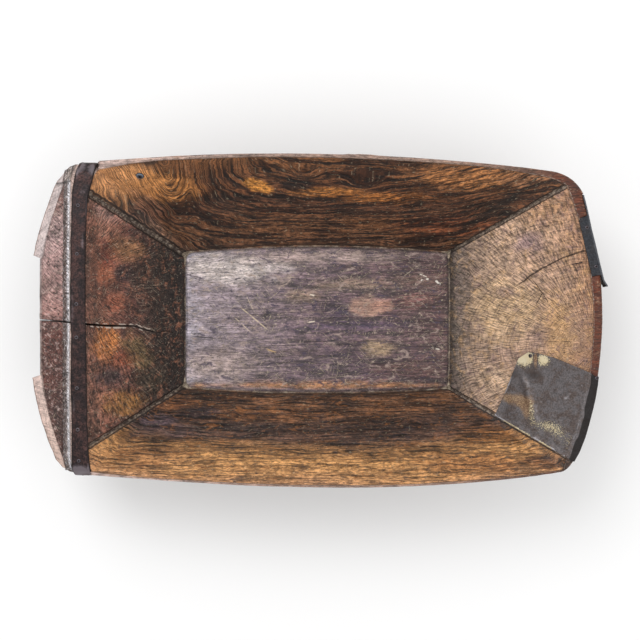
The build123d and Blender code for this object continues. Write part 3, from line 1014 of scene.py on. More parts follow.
COATS = {
    # Floor: the pale bluish left end and the pale stain at x -150, y 84 are painted sheen of reflected light.
    Zone.FLOOR: Coat(0, 45, 0.5, (
        (-218, "#aba2ac"), (-195, "#9e9097"), (-120, "#8a797e"), (-40, "#7b676d"), (60, "#6b545a"), (217, "#614645"),
    ), (
        Stain((-150, 84), (100, 24), "#d0c3be", 0.9), Stain((-165, -75), (60, 28), "#b59f96", 0.6),
        Stain((10, 104), (130, 12), "#b09a92", 0.7), Stain((58, 58), (60, 10), "#a88d74", 0.6),
        Stain((160, 62), (60, 12), "#755a4e", 0.6), Stain((160, 30), (40, 14), "#8e5e58", 0.7),
        Stain((30, 14), (20, 20), "#45364a", 0.7), Stain((60, -10), (90, 9), "#4e3d52", 0.7),
        Stain((50, -72), (110, 20), "#4c3b45", 0.7), Stain((150, -80), (60, 14), "#6a4a44", 0.6),
        Stain((-84, 12), (12, 8), "#4a3c40", 0.7), Stain((-20, 40), (30, 12), "#a08468", 0.6),
        Stain((0, -108), (210, 6), "#b57e50", 0.85), Stain((84, 22), (32, 17), "#ae8877", 0.9, soft=0.22),
        Stain((108, 22), (20, 11), "#a87d6c", 0.9, soft=0.3), Stain((101, -46), (29, 12), "#ab9071", 0.8, soft=0.4),
    )),
    Zone.FAR: Coat(2, 9, 0.85, (
        (45, "#704b34"), (80, "#734c31"), (118, "#68422c"), (131, "#3e261a"), (142, "#6c4329"), (160, "#694229"),
        (200, "#7b5030"),
    ), (
        Stain((-290, 214), (62, 24), "#cd915e", 1.0), Stain((-240, 205), (60, 22), "#c08044", 0.7),
        Stain((-300, 190), (34, 20), "#b98355", 0.6), Stain((246, 216), (95, 16), "#b97c4a", 0.85),
        Stain((320, 212), (40, 12), "#9a6e50", 0.7), Stain((-254, 240), (16, 7), "#382a25", 0.8, soft=0.7),
        Stain((-92, 208), (26, 8), "#d38d40", 1.0, -15, 0.5), Stain((10, 200), (60, 6), "#c07c3c", 0.9),
        Stain((90, 192), (85, 8), "#b97437", 0.8), Stain((-30, 208), (30, 7), "#33231d", 0.9, soft=0.6),
        Stain((-150, 190), (12, 26), "#3a2920", 0.6, 50), Stain((-270, 160), (26, 14), "#6a5048", 0.6, -40),
        Stain((-266, 178), (26, 15), "#a3735b", 0.6, -35), Stain((-262, 138), (40, 20), "#a07a62", 0.6, -35),
        Stain((210, 150), (80, 16), "#82492c", 0.8), Stain((275, 172), (60, 6), "#2f2019", 0.8, 32),
    )),
    Zone.NEAR: Coat(2, 15, 0.6, (
        (45, "#5c4232"), (60, "#7d563b"), (84, "#7d553a"), (104, "#654839"), (122, "#664a3d"), (140, "#9a6f45"),
        (160, "#c08d58"), (185, "#c38f5c"), (200, "#bb8a62"),
    ), (
        Stain((340, -214), (34, 10), "#7a5238", 0.85), Stain((240, -220), (90, 14), "#a36c3e", 0.7),
        Stain((-266, -209), (64, 18), "#966841", 0.75), Stain((-180, -129), (84, 12), "#4d3425", 0.8),
        Stain((371, -214), (9, 10), "#2f241f", 0.85, soft=0.6),
        Stain((-258, -160), (34, 12), "#504249", 0.85, soft=0.7),
        Stain((-215, -176), (30, 9), "#6a5350", 0.8, soft=0.7), Stain((-190, -150), (34, 9), "#4a3d42", 0.8, soft=0.7),
        Stain((-110, -170), (70, 9), "#43342f", 0.8), Stain((10, -171), (60, 8), "#3f2f28", 0.7),
        Stain((40, -136), (36, 8), "#30241f", 0.8), Stain((140, -165), (70, 12), "#3c2820", 0.75),
        Stain((215, -150), (40, 12), "#3a2a22", 0.6, 30), Stain((265, -180), (50, 12), "#9a6332", 0.6),
        Stain((-245, -136), (50, 10), "#96603c", 0.7), Stain((-60, -150), (60, 7), "#93623e", 0.5),
    )),
    # Right end wall: the dark stops at z 45 and 58 are painted shade where the wall meets the floor.
    Zone.RIGHT: Coat(2, 12, 0.3, (
        (45, "#453b36"), (58, "#72635a"), (76, "#a18774"), (110, "#bf9f87"), (165, "#bb967c"), (200, "#a57b5e"),
    ), (
        Stain((300, 20), (50, 50), "#d6b388", 0.6), Stain((370, -20), (20, 60), "#cd9f68", 0.6),
        Stain((330, 120), (18, 16), "#8d7480", 0.6), Stain((300, 44), (16, 9), "#8d7276", 0.6),
        Stain((345, -30), (16, 22), "#9d7f78", 0.5), Stain((300, -60), (26, 18), "#96786c", 0.5),
        Stain((240, 60), (14, 30), "#8d7a70", 0.5), Stain((282, -96), (26, 22), "#d6b596", 0.5),
        Stain((342, 168), (28, 22), "#ab7a52", 0.4),
    )),
    # Left end wall: the near-black stops at z 45 and 62 are painted shade where the wall meets the floor.
    Zone.LEFT: Coat(2, 14, 0.3, (
        (45, "#140f0e"), (62, "#1d1614"), (100, "#362822"), (140, "#634038"), (180, "#8a5c4c"), (200, "#6c4d42"),
    ), (
        Stain((-322, -34), (18, 28), "#bd7640", 0.9, soft=0.9), Stain((-300, -60), (16, 14), "#a8593c", 0.8),
        Stain((-324, 70), (12, 20), "#9c5b40", 0.8, soft=1.1), Stain((-312, 26), (15, 15), "#9c5a42", 0.7, soft=1.1),
        Stain((-318, 104), (14, 20), "#7e3c30", 0.7), Stain((-296, 110), (22, 20), "#b8865c", 0.6),
        Stain((-318, 165), (18, 18), "#a8837a", 0.7), Stain((-322, 140), (16, 14), "#a3725e", 0.5),
        Stain((-300, 72), (13, 13), "#33272a", 0.85, soft=0.6), Stain((-283, 60), (14, 30), "#3c2e28", 0.6),
        Stain((-320, -88), (18, 16), "#453a3e", 0.8), Stain((-300, -130), (26, 20), "#a8773f", 0.7),
        Stain((-284, -50), (16, 36), "#7b6744", 0.6, 25), Stain((-266, -95), (22, 22), "#473c30", 0.8),
    )),
    Zone.RIM: Coat(0, 25, 0.2, (
        (-340, "#c4aaa0"), (-100, "#a18679"), (200, "#9e8172"), (330, "#73503f"), (375, "#5f3321"), (437, "#632f19"),
    ), (
        Stain((380, -216), (22, 20), "#33261f", 0.9),
    )),
    # Bevel: the pale bluish stops at its top, from z 197, are a painted highlight where it catches the light.
    Zone.BEVEL: Coat(2, 2.6, 0.2, (
        (184, "#54423c"), (194.8, "#6b5853"), (197, "#cbc7cc"), (200, "#e2dfe3"),
    ), (
        Stain((-375, 226), (16, 17), "#8b7a72", 1.0, soft=0.2),
    )),
    Zone.LEDGE: Coat(1, 25, 0.2, (
        (-230, "#402924"), (-20, "#5a322a"), (20, "#98716a"), (130, "#a98b88"), (175, "#8d6a62"), (235, "#6b5450"),
    )),
    Zone.LOBE: Coat(1, 20, 0.2, (
        (-230, "#c7aa9c"), (-90, "#dcc1b7"), (90, "#d4c2bf"), (235, "#bcadaa"),
    )),
    Zone.LUG: Coat(2, 5, 0.2, (
        (124, "#4c3a33"), (160, "#6d5348"), (171, "#8c6f64"),
    )),
    Zone.OUTSIDE: Coat(2, 16, 0.5, (
        (0, "#4d3a2e"), (40, "#5d4637"), (90, "#6b5040"), (150, "#745644"), (190, "#866652"), (200, "#a08474"),
    )),
}

FLOOR_MARKS = (
    Mark((-129, 23), (-79, -18), 1.7), Mark((-140, 8), (-108, -22), 1.2, strength=0.6),
    Mark((-117, 40), (-103, 12), 1.0, strength=0.6), Mark((-207, -27), (-140, -32), 1.6, "#2d2226"),
    Mark((-86, -47), (-62, -56), 2.2, "#c9a878"), Mark((170, 76), (182, 71), 1.6, "#efe4d4"),
    Mark((196, 66), (205, 58), 3.2, "#f4ece0"), Mark((172, 66), (176, 64), 3.0, "#f4ece0"),
    Mark((181, 68), (185, 67), 2.6, "#f4ece0"), Mark((189, -46), (204, -49), 1.8, "#efe4d4"),
    Mark((170, 92), (140, 70), 1.0, "#c9b79d", 0.5), Mark((-12, 42), (-4, 40), 2.6, "#ecdcc8"),
    Mark((-14, -4), (-3, -2), 2.0, "#ecdcc8"), Mark((-84, 15), (-76, 9), 5.5, "#2b2230", 0.8),
)

FINISHES = {
    Zone.FLOOR: LongGrain("worn_floor_wood", "#55454a", band=7, line=2.2, line_depth=0.4, stroke=0.46, cloud=0.46,
                          fleck=0.6, scratch=0.36, mottle=0.85, warm="#a48f86", dark="#41354a", gloss=0.45,
                          marks=FLOOR_MARKS),
    Zone.FAR: LongGrain("far_wall_wood", "#4a3026", band=6, line=2.4, line_depth=0.72, pale_lines=0.35, stroke=0.75),
    Zone.NEAR: LongGrain("near_wall_wood", "#4d382e", band=9, line=2.4, line_depth=0.8, pale_lines=0.75, stroke=0.6,
                         cloud=0.42, mottle=0.5, warm="#a86a38", dark="#2f2a33"),
    Zone.RIGHT: EndGrain("right_end_grain", ring_strength=0.3, ray=0.7, scratch=0.2, cloud=0.35, warm="#cfa26c",
                         warm_share=0.45, dark="#7d6260", dark_share=0.6,
                         checks=(Check((105, 199), (48, 116), 8), Check((64, 139), (27, 153)),
                                 Check((41, 147), (25, 140)))),
    Zone.LEFT: EndGrain("left_end_grain", ring_strength=0.3, ray=0.8, cloud=0.55, warm_share=0.5, dark_share=0.7,
                        scratch=0.22),
    Zone.RIM: LongGrain("rim_wood", band=6, line=2.0, line_depth=0.5, stroke=0.45, mottle=0.45, warm="#a87f64",
                        dark="#33262a", gloss=0.6),
    # bevel_wood: its pale blotches break up the bevel's painted highlight.
    Zone.BEVEL: EndGrain("bevel_wood", ring_strength=0.5, ray=0.9, blotch=3.6, warm="#efedf0",
                         warm_share=0.6, dark="#2e2624", dark_share=1.0),
    Zone.LEDGE: EndGrain("ledge_wood", ring_strength=0.2, ray=0.7, cloud=0.48, blotch=6.5, warm="#d8beb6",
                         warm_share=0.55, dark="#2d1e1b", dark_share=1.0, scratch=0.22),
    Zone.LOBE: EndGrain("lobe_wood", ring_strength=0.3, ray=0.25, scratch=0.1),
    Zone.LUG: EndGrain("lug_wood", ring_strength=0.3),
    Zone.OUTSIDE: LongGrain("hewn_outside_wood", band=10, gloss=0.62),
}


def carry(piece: Piece, **layers: Array) -> None:
    """Store numbers, or colours with their alpha, at every point of a mesh, each layer under its name."""
    for name, values in layers.items():
        colour = values.shape[-1] == 4 and values.ndim > 1 and values.size == 4 * len(piece.data.vertices)
        layer = piece.data.attributes.new(name, "FLOAT_COLOR" if colour else "FLOAT", "POINT")
        layer.data.foreach_set("color" if colour else "value", values.astype(np.float32).reshape(-1))


@dataclass
class HewnLog:
    """The log: floor, walls, rim, lug and hewn outside as one closed skin with a split let into it.

    The skin is a grid: columns run round the log from the split, rows run from the middle of the
    floor up the walls, over the rim, down the outside and in to the middle of the foot.
    """

    height: float = 200.0
    floor_z: float = 45.0
    band_z: float = 170.0
    chine_z: float = 60.0
    ledge_z: float = 184.0
    lug_foot_z: float = 124.0
    side_z: Triple = (193.0, 187.0, 178.0)  # of the rows along the sides that shape the lug
    # height, and share of the way from the rim to the chine, of the first hull row off and on the lug
    hull_rows: tuple[Pair, ...] = ((130.0, 0.364), (124.0, 0.418))
    rim_edge: float = 1.6  # how far the edges of the rim are worn round
    tip_x: float = -437.0
    far_sweep: float = 39.0  # how far each lobe curves back
    near_sweep: float = 36.0
    hold_x: float = -421.0
    hold_far: float = 95.0
    hold_near: float = -84.0
    hold_edge: float = 3.0
    bevel_run: float = 14.5
    lobe_run: float = 17.0
    foot_inset: float = 19.0
    lobe_start: float = 75.0  # from the middle of the log to where a lobe starts to curve back
    lobe_length: float = 139.0
    floor_spine: Pair = (-112.0, 112.0)
    foot_spine: Pair = (-150.0, 120.0)
    # course of the split in plan and how wide it gapes there
    split_x: Numbers = (-437, -376, -350, -320, -287, -272, -256, -246, -225, -218)
    split_y: Numbers = (1.5, -3, -6, -9, -9.4, -15.7, -20.5, -17.5, -23, -28)
    split_gap: Numbers = (1.6, 1.6, 2.9, 2.4, 1.3, 1.1, 0.9, 0.7, 0, 0)
    split_foot_z: float = 22.0
    split_dirt_x: Pair = (-225, -262)  # along here dirt starts to fill it
    crack_y: float = 208.6  # a crack in the far corner of the lug
    bevel_top_x: float = -368.0
    strap_side_x: float = -336.0  # where the strap's painted shadow falls on the left wall
    plain_x: Pair = (-70, -120)  # the far wall's figure fades leftwards from here
    plain_z: Pair = (172, 190)  # and upwards from here
    splinters: Triple = (68.0, 26.0, 1.6)  # x, spread and height of the ones on the far rim
    patch_cover: tuple[Pair, ...] = ((410, -150), (42, 85))  # where tin covers the rim, and its reach
    plate_cover: Pair = (120.0, 75.0)  # the same along y for the plate
    # shares of broad hollows, tool facets and torn fibres in the relief of each surface
    hewing_cells: tuple[tuple[Triple, int], ...] = (
        ((80, 55, 45), 11), ((34, 17, 15), 12), ((11, 5, 4.5), 13),
    )
    floor_hewing: Triple = (0.45, 0.3, 0.16)
    side_hewing: Triple = (0.8, 0.35, 0.2)
    end_hewing: Triple = (0.8, 0.8, 0.4)
    rim_hewing: Triple = (0.0, 0.25, 0.25)
    outside_hewing: Triple = (0.8, 0.7, 0.3)
    # where the relief is held down: near the foot, and beyond these x, y and z under the tin and the strap
    smooth_foot: float = 8.0
    tin_bed: Triple = (270.0, -42.0, 100.0)
    strap_bed: Pair = (-340.0, 190.0)
    sill_cut: Triple = (0.9, 1.5, 2.2)  # depth, place beside the corner and width of the line round the floor
    rows: dict[str, slice] = field(default_factory=dict)

    floor_edge: Outline = Outline(
        ((-218, -6), (-218, 107), (-213, 112), (217, 112), (217, -112), (-213, -112), (-218, -107)),
        (0, 0, 10, 2, 8, 0, 0),
    )
    rim_inside: Outline = Outline(
        ((-349, -6), (-346, 192), (-331, 225), (376, 204), (375.5, -207), (-341, -229), (-346, -192)),
        (0, 0, 0, 41, 0, 0, 0),
    )
    # width of the rim at places along the far and the near wall
    far_land_x: Numbers = (-331, -319, -283, -247, -175, 250, 311, 347, 376)
    far_land: Numbers = (13, 12, 8, 6, 5.3, 5, 7, 10, 14)
    near_land_x: Numbers = (-341, -325, -290, -240, 330, 369, 372, 375.5)
    near_land: Numbers = (5, 4, 3, 2.8, 2.8, 2.8, 4, 19)
    rim_outside: Outline = Outline(
        ((-371.5, -6), (-370.6, 212), (-365.5, 236), (393, 219), (386, -226), (-365.5, -231), (-370.6, -208)),
        (1, 0, 22.5, 40, 23.5, 0, 1),
        (0, 0, 0, 0, -0.25, 0, 0),
        far_round=(43, 43),
        near_round=(60, 20),
    )
    chine: Outline = Outline(
        ((-341.5, -6), (-340.7, 150), (-335.5, 166), (294, 161), (290, -163), (-335.5, -163), (-340.7, -148)),
        (1, 0, 16, 37, 16, 0, 1),
        far_round=(43, 43),
        near_round=(50, 30),
    )
    foot_edge: Outline = Outline(
        ((-265, -6), (-264, 112), (-259, 124), (229, 119), (229, -119), (-259, -124), (-264, -112)),
        (1, 0, 8, 36, 8, 0, 1),
        far_round=(43, 43),
        near_round=(43, 43),
    )

    def lands(self, inside: Array, rim: Array) -> Array:
        """Set the inner edge of both long rims in from the outer edge by the width of the rim there.

        Args:
            inside: the inner outline.
            rim: the outer outline.

        Returns:
            The inner outline with both long sides set.
        """
        for side, after, at, width in (
            (Side.FAR, Side.RIGHT, self.far_land_x, self.far_land),
            (Side.NEAR, Side.TURN_NEAR, self.near_land_x, self.near_land),
        ):
            run = slice(FIRST[side], FIRST[after] + 1)
            way = np.sign(rim[run, 1].mean())
            half = rim[way * rim[:, 1] > 100]
            half = half[np.argsort(half[:, 0])]
            x = inside[run, 0]
            inside[run, 1] = np.interp(x, half[:, 0], half[:, 1]) - way * np.interp(x, at, width)
        return inside

    def spine(self, path: Array, ends: Pair) -> Array:
        """Each column's place on the middle line that a flat is closed along."""
        return np.stack([np.clip(path[:, 0], *ends), np.zeros(len(path))], axis=1)

    def lug_tip(self, y: Array) -> Array:
        """x of the lug's end: flat in the hand hold, on the lobes tip_x + sweep ((|y| - start) / length)^1.6."""
        past = np.abs(y) - self.lobe_start
        sweep = np.where(y > 0, self.far_sweep, self.near_sweep)
        lobe = self.tip_x + sweep * np.clip(past / self.lobe_length, 0, 1) ** 1.6
        lobe += 0.9 * np.maximum(past - self.lobe_length, 0)
        return lobe + (self.hold_x - lobe) * self.held(y)

    def held(self, y: Array) -> Array:
        """1 in the hand hold, easing to 0 over hold_edge on both sides of its ends."""
        far, near, edge = self.hold_far, self.hold_near, self.hold_edge
        return eased(y, far + edge, far - edge) * eased(y, near - edge, near + edge)

    def splinter(self, rim: Array) -> Array:
        """How far splinters stand out of the far rim, height exp(-((x - at) / spread)^2) (1 + noise)."""
        at, spread, height = self.splinters
        ragged = 1 + rough(np.c_[rim, rim[:, 1]], (7, 99, 99), 7)
        return height * bell(rim[:, 0] - at, spread) * (rim[:, 1] > 0) * ragged

    def rim_wear(self, rim: Array, left: Array) -> Array:
        """How far the rim is worn down, unevenly, but not beside the strap or under the other iron.

        Args:
            rim: its outer outline.
            left: which columns belong to the left end.

        Returns:
            Millimetres for each column.
        """
        place = np.column_stack([rim, np.zeros(len(rim))])
        wear = 1.2 + 1.2 * rough(place, (70, 70, 70), 3) + 0.5 * rough(place, (12, 12, 12), 4)
        (patch_x, patch_y), (reach_x, reach_y) = self.patch_cover
        under_iron = bell(np.hypot((rim[:, 0] - patch_x) / reach_x, (rim[:, 1] - patch_y) / reach_y), 1)
        under_iron += bell(rim[:, 1] - self.plate_cover[0], self.plate_cover[1])
        wear = wear * np.where(left, 0.0, 1.0) * eased(rim[:, 0], -335, -300)
        return wear * np.where(rim[:, 0] > 350, np.clip(1 - 1.6 * under_iron, 0, 1), 1.0)

    def stations(self) -> list[Array]:
        """The outlines that rows run between, lifted to their heights, from floor middle to foot middle.

        Returns:
            Twelve rings of points.
        """
        rim = self.rim_outside.trace()
        inside = self.lands(self.rim_inside.trace(), rim)
        chine = self.chine.trace()
        floor = self.floor_edge.trace()
        foot = self.foot_edge.trace()
        column = np.arange(LAST + 1)
        left = (column <= FIRST[Side.FAR]) | (column >= FIRST[Side.TURN_NEAR])
        y = rim[:, 1]
        on_lug = np.where(left, eased(np.abs(y), np.where(y > 0, 236.5, 231.5), 227), 0.0)
        tip = self.lug_tip(y)
        held = self.held(y)
        bevel = rim[:, 0] - self.bevel_run
        ledge = np.minimum(tip + self.lobe_run * (1 - held) + 0.4, bevel - 0.5)
        below = np.where(held > 0.5, self.hold_x + 0.5, tip + self.foot_inset)
        rim[:, 1] += self.splinter(rim)

        def lift(path: Array, z: float | Array) -> Array:
            """Plan positions with a height."""
            return np.column_stack([path, np.broadcast_to(z, len(path))])

        def lug(x: Array, z: float, other: Array) -> Array:
            """On the lug the given x and height, elsewhere the other ring."""
            return other + on_lug[:, None] * (np.column_stack([x, y, np.full(len(y), z)]) - other)

        wear = self.rim_wear(rim, left)
        edge = self.height - self.rim_edge * np.where(left, 0.1, 1.0)
        hull = [lift(rim + share * (chine - rim), z) for z, share in self.hull_rows]
        return [
            lift(self.spine(floor, self.floor_spine), self.floor_z),
            lift(floor, self.floor_z),
            lift(inside, edge - wear),
            lift(rim, edge - wear),
            lug(bevel, self.ledge_z, lift(rim, self.side_z[0])),
            lug(ledge, self.ledge_z, lift(rim, self.side_z[1])),
            lug(tip, self.band_z, lift(rim, self.side_z[2])),
            lug(below, self.lug_foot_z, lift(rim, self.band_z)),
            hull[0] + on_lug[:, None] * (hull[1] - hull[0]),
            lift(chine, self.chine_z),
            lift(foot, 0.0),
            lift(self.spine(foot, self.foot_spine), 0.0),
        ]

    def grid(self) -> Array:
        """Rows carried in straight lines from each station to the next, closer together at the edges.

        Returns:
            Points, rows x columns x 3.
        """
        rings = self.stations()
        bands = []
        row = 0
        for (name, count), lower, upper in zip(ROWS.items(), rings, rings[1:]):
            share = clustered(count, 0.1 if name in ("wall", "floor") else 0.04)[:-1, None, None]
            bands.append(lower + share * (upper - lower))
            self.rows[name] = slice(row, row + count)
            row += count
        self.rows["outside"] = slice(self.rows["bevel"].start, row + 1)
        return np.concatenate([*bands, rings[-1][None]])

    def split(self, points: Array) -> tuple[Array, Array]:
        """Lead the first and last columns along the split and draw them apart by its gap.

        Args:
            points: the grid.

        Returns:
            The grid, and the gap in each row.
        """
        seam = points[:, 0]
        target = np.interp(seam[:, 0], self.split_x, self.split_y)
        low = np.clip(seam[:, 2] / self.chine_z, 0, 1)
        floor = np.zeros(len(points))
        floor[self.rows["floor"]] = np.linspace(1, 0, self.rows["floor"].stop)
        shift = (target - seam[:, 1]) * low * (1 - floor)
        column = np.arange(LAST + 1)
        away = np.minimum(column, LAST - column)
        points[:, :, 1] += shift[:, None] * eased(away, 22, 0)[None, :]
        gap = np.interp(seam[:, 0], self.split_x, self.split_gap)
        ragged = 1 + 0.45 * rough(seam, (11, 11, 11), 5)
        outside = np.arange(len(points)) >= self.rows["rim"].start
        gap = gap * ragged * np.where(outside, eased(seam[:, 2], self.split_foot_z, 110), 1.0)
        gap[self.rows["floor"]] = 0
        gap[seam[:, 2] < 1] = 0
        side = np.where(column < LAST / 2, 0.5, -0.5)
        points[:, :, 1] += gap[:, None] * (side * eased(away, 5, 0))[None, :]
        return points, gap

    def relief(self, points: Array) -> Array:
        """Height of the hewn surface: broad hollows, tool facets and torn fibres, weaker where it is worn.

        Args:
            points: the grid.

        Returns:
            Millimetres outwards for each point.
        """
        waves = np.stack([rough(points, cell, seed) for cell, seed in self.hewing_cells], axis=-1)
        column = np.arange(LAST + 1)
        end_wall = (column < FIRST[Side.TURN_FAR]) | (column > FIRST[Side.LEFT_NEAR])
        end_wall |= (column > FIRST[Side.RIGHT]) & (column < FIRST[Side.NEAR])
        floor, wall, rim, outside = (self.rows[name] for name in ("floor", "wall", "rim", "outside"))
        rise = np.zeros(points.shape[:2])
        rise[floor] = waves[floor] @ self.floor_hewing
        rise[wall] = np.sum(waves[wall] * np.where(end_wall[:, None], self.end_hewing, self.side_hewing), axis=-1)
        rise[rim] = waves[rim] @ self.rim_hewing
        rise[outside] = (waves[outside] - (1, 1, 0)) @ self.outside_hewing
        rise[rim.stop : self.rows["ledge"].start] *= 0.4
        x, y, z = (points[..., i] for i in range(3))
        rise *= np.where(z < self.smooth_foot, z / self.smooth_foot, 1.0)
        tin_x, tin_y, tin_z = self.tin_bed
        tin = (x > tin_x) & (y < tin_y) & (z > tin_z) & (column > FIRST[Side.RIGHT])
        tin &= column <= FIRST[Side.NEAR] + 6
        rise[tin] = np.minimum(rise[tin], 0.1)
        strap_x, strap_z = self.strap_bed
        covered = (z > strap_z) & (x < strap_x)
        rise[covered] = np.minimum(rise[covered], 0) * 0.2
        return rise

    def channels(self) -> tuple[Channel, ...]:
        """The four channels, the far left one wider and rope-like."""
        return (
            Channel(FIRST[Side.TURN_FAR], 4.6, 3.0, 1.5),
            Channel(FIRST[Side.RIGHT], 3.0, 2.2),
            Channel(FIRST[Side.NEAR], 2.8, 1.8),
            Channel(FIRST[Side.LEFT_NEAR], 3.2, 2.4, 1.0),
        )

    def carve(self, points: Array, rise: Array) -> tuple[Array, Array, Array]:
        """Cut each channel as -depth exp(-(d/width)^2) with a burr beyond it, and a line round the floor.

        Args:
            points: the grid.
            rise: the relief so far.

        Returns:
            The relief with them, the distance from the nearest channel in its widths, and the
            distance from the floor's edge, negative on the floor.
        """
        hip = np.full(rise.shape, 9.0)
        sill = np.full(rise.shape, 99.0)
        wall = self.rows["wall"]
        for channel in self.channels():
            line = points[wall, channel.column][:, None]
            away = np.linalg.norm(points[wall] - line, axis=-1)
            pulse = 1 + channel.uneven * rough(points[wall], (13, 13, 13), channel.column)
            cut = bell(away, channel.width * 0.75)
            rise[wall] *= 1 - channel.smooth * bell(away, 2 * channel.width)
            rise[wall] -= channel.depth * pulse * cut
            beside = away - channel.burr_at * channel.width
            rise[wall] += channel.burr * pulse * bell(beside, channel.burr_width * channel.width)
            hip[wall] = np.minimum(hip[wall], away / channel.width)
            foot = np.linalg.norm(points[: wall.start] - points[wall.start, channel.column], axis=-1)
            hip[: wall.start] = np.minimum(hip[: wall.start], 1 + foot / channel.width)
        inside = slice(0, wall.stop)
        edge = points[wall.start][None]
        away = np.linalg.norm(points[inside] - edge, axis=-1)
        uneven = 1 + 0.6 * rough(points[inside], (30, 30, 30), 17)
        deep, beside, wide = self.sill_cut
        rise[inside] -= deep * uneven * bell(away - beside, wide)
        sill[inside] = away * np.where(np.arange(wall.stop) < wall.start, -1, 1)[:, None]
        return rise, hip, sill

    def seat(self, points: Array) -> Array:
        """Cut the beds of the strap and the rim plate, and keep the log within its CAD box.

        Args:
            points: the grid.

        Returns:
            The grid with its beds.
        """
        x, y, z = (points[..., i] for i in range(3))
        for bed in STRAP_BEDS:
            out = bed.way * y
            here = (x > bed.left) & (x < bed.right) & (out > bed.fold)
            slope = self.height - bed.drop * (out - bed.fold) / (bed.side - bed.fold) - bed.gap
            lowered = np.minimum(z, np.maximum(slope, self.ledge_z))
            points[..., 2] = np.where(here & (z > self.ledge_z), lowered, points[..., 2])
            reach = bed.side - bed.batter * np.maximum(self.band_z - z, 0)
            out = np.where(here & (z > self.lug_foot_z), np.minimum(out, reach), out)
            y = bed.way * out
        points[..., 1] = y
        points[..., 2] = np.minimum(points[..., 2], self.height - 0.15)
        start, out = PLATE.local(points)
        over = np.where((start > -2) & (start < PLATE.length + 2) & (z > self.band_z), out + PLATE.sheet + 0.2, 0)
        points[..., :2] -= np.maximum(over, 0)[..., None] * PLATE.outward
        return np.clip(points, CAD_LOW, CAD_HIGH)

    def growth(self, points: Array, zones: Array) -> tuple[Array, Array]:
        """Depth through the growth layers, and distance round them.

        The end walls show rings, the far wall tongues. On the lug the layers run slanting, 0.7x - 0.7y, on the
        near wall 0.4z - 0.55y and on the floor 0.8y. All of them wander, and bulge at each eye.

        Args:
            points: the grid.
            zones: the surface of each point.

        Returns:
            Millimetres through the layers and along them.
        """
        x, y, z = (points[..., i] for i in range(3))
        layers = Growth()
        depth, ray = layers.rings(points, zones == Zone.RIGHT)
        flat = (zones == Zone.LEDGE) | (zones == Zone.BEVEL)
        bent_lines = 14 * rough(points, (40, 40, 40), 26)
        depth = np.where(flat, 0.7 * x - 0.7 * y + bent_lines, depth)
        ray = np.where(flat, 0.7 * x + 0.7 * y + bent_lines, ray)
        depth = np.where(zones == Zone.FAR, layers.tongues(points), depth)
        plain = 0.4 * z - 0.55 * y + 4 * rough(points, (120, 40, 30), 24)
        depth = np.where(zones == Zone.NEAR, plain, depth)
        depth = np.where(zones == Zone.FLOOR, 0.8 * y + 9 * rough(points, (110, 34, 34), 25), depth)
        depth = depth + 3.0 * rough(points, (210, 60, 60), 21) + 1.6 * rough(points, (60, 22, 22), 22)
        for eye in EYES:
            away = np.hypot((x - eye.x) / eye.half_x, (z - eye.z) / eye.half_z)
            depth = depth + eye.lift * bell(away, 1) * (np.sign(y) == eye.side)
        return depth, ray

    def zones(self) -> Array:
        """Which surface each point of the grid lies on.

        Returns:
            Values of Zone, rows x columns.
        """
        column = np.arange(LAST + 1)
        around = np.full(LAST + 1, Zone.LEFT)
        around[FIRST[Side.TURN_FAR] :] = Zone.FAR
        around[FIRST[Side.RIGHT] :] = Zone.RIGHT
        around[FIRST[Side.NEAR] :] = Zone.NEAR
        around[FIRST[Side.LEFT_NEAR] :] = Zone.LEFT
        zones = np.full((self.rows["outside"].stop, LAST + 1), Zone.OUTSIDE)
        zones[self.rows["floor"]] = Zone.FLOOR
        zones[self.rows["wall"]] = around
        zones[self.rows["rim"]] = Zone.RIM
        on_lug = (column <= FIRST[Side.FAR]) | (column >= FIRST[Side.TURN_NEAR])
        for name, zone in (("bevel", Zone.BEVEL), ("ledge", Zone.LEDGE), ("lobe", Zone.LOBE)):
            zones[self.rows[name], on_lug] = zone
        zones[self.rows["under"].start : self.rows["hull"].start, on_lug] = Zone.LUG
        return zones

    def build(self) -> Piece:
        """Work out the skin, close it along the split and dress it.

        Returns:
            The finished log.
        """
        points = self.grid()
        crown = np.linspace(-1, 1, self.rows["rim"].stop - self.rows["rim"].start)
        points[self.rows["rim"], :, 2] += self.rim_edge * (1 - np.abs(crown) ** 3)[:, None]
        normals = surface_normals(points, ring=True)
        normals[: self.rows["floor"].stop - 1] = (0, 0, 1)
        rise, hip, sill = self.carve(points, self.relief(points))
        points = self.seat(points + rise[..., None] * normals)
        points, gap = self.split(points)
        zones = self.zones()
        rows, columns = zones.shape
        quads = grid_faces(rows, columns)
        opened = np.nonzero(gap > 0)[0]
        course = np.arange(opened[0] - 1, opened[-1] + 2) * columns
        cuts = [course.tolist(), (course + columns - 1)[::-1].tolist()]
        finishes = [FINISHES[zone].make() for zone in Zone]
        piece = new_piece("hewn_log", points, [*quads.tolist(), *cuts], finishes[0])
        for finish in finishes[1:]:
            piece.data.materials.append(finish)
        slots = [*zones[:-1, :-1].reshape(-1).tolist(), Zone.LUG, Zone.LUG]
        piece.data.polygons.foreach_set("material_index", slots)
        carry(piece, hip=hip, sill=sill)
        self.dress(piece, points, zones)
        tidy(piece)
        place(piece, "log", "trough_body")
        return piece

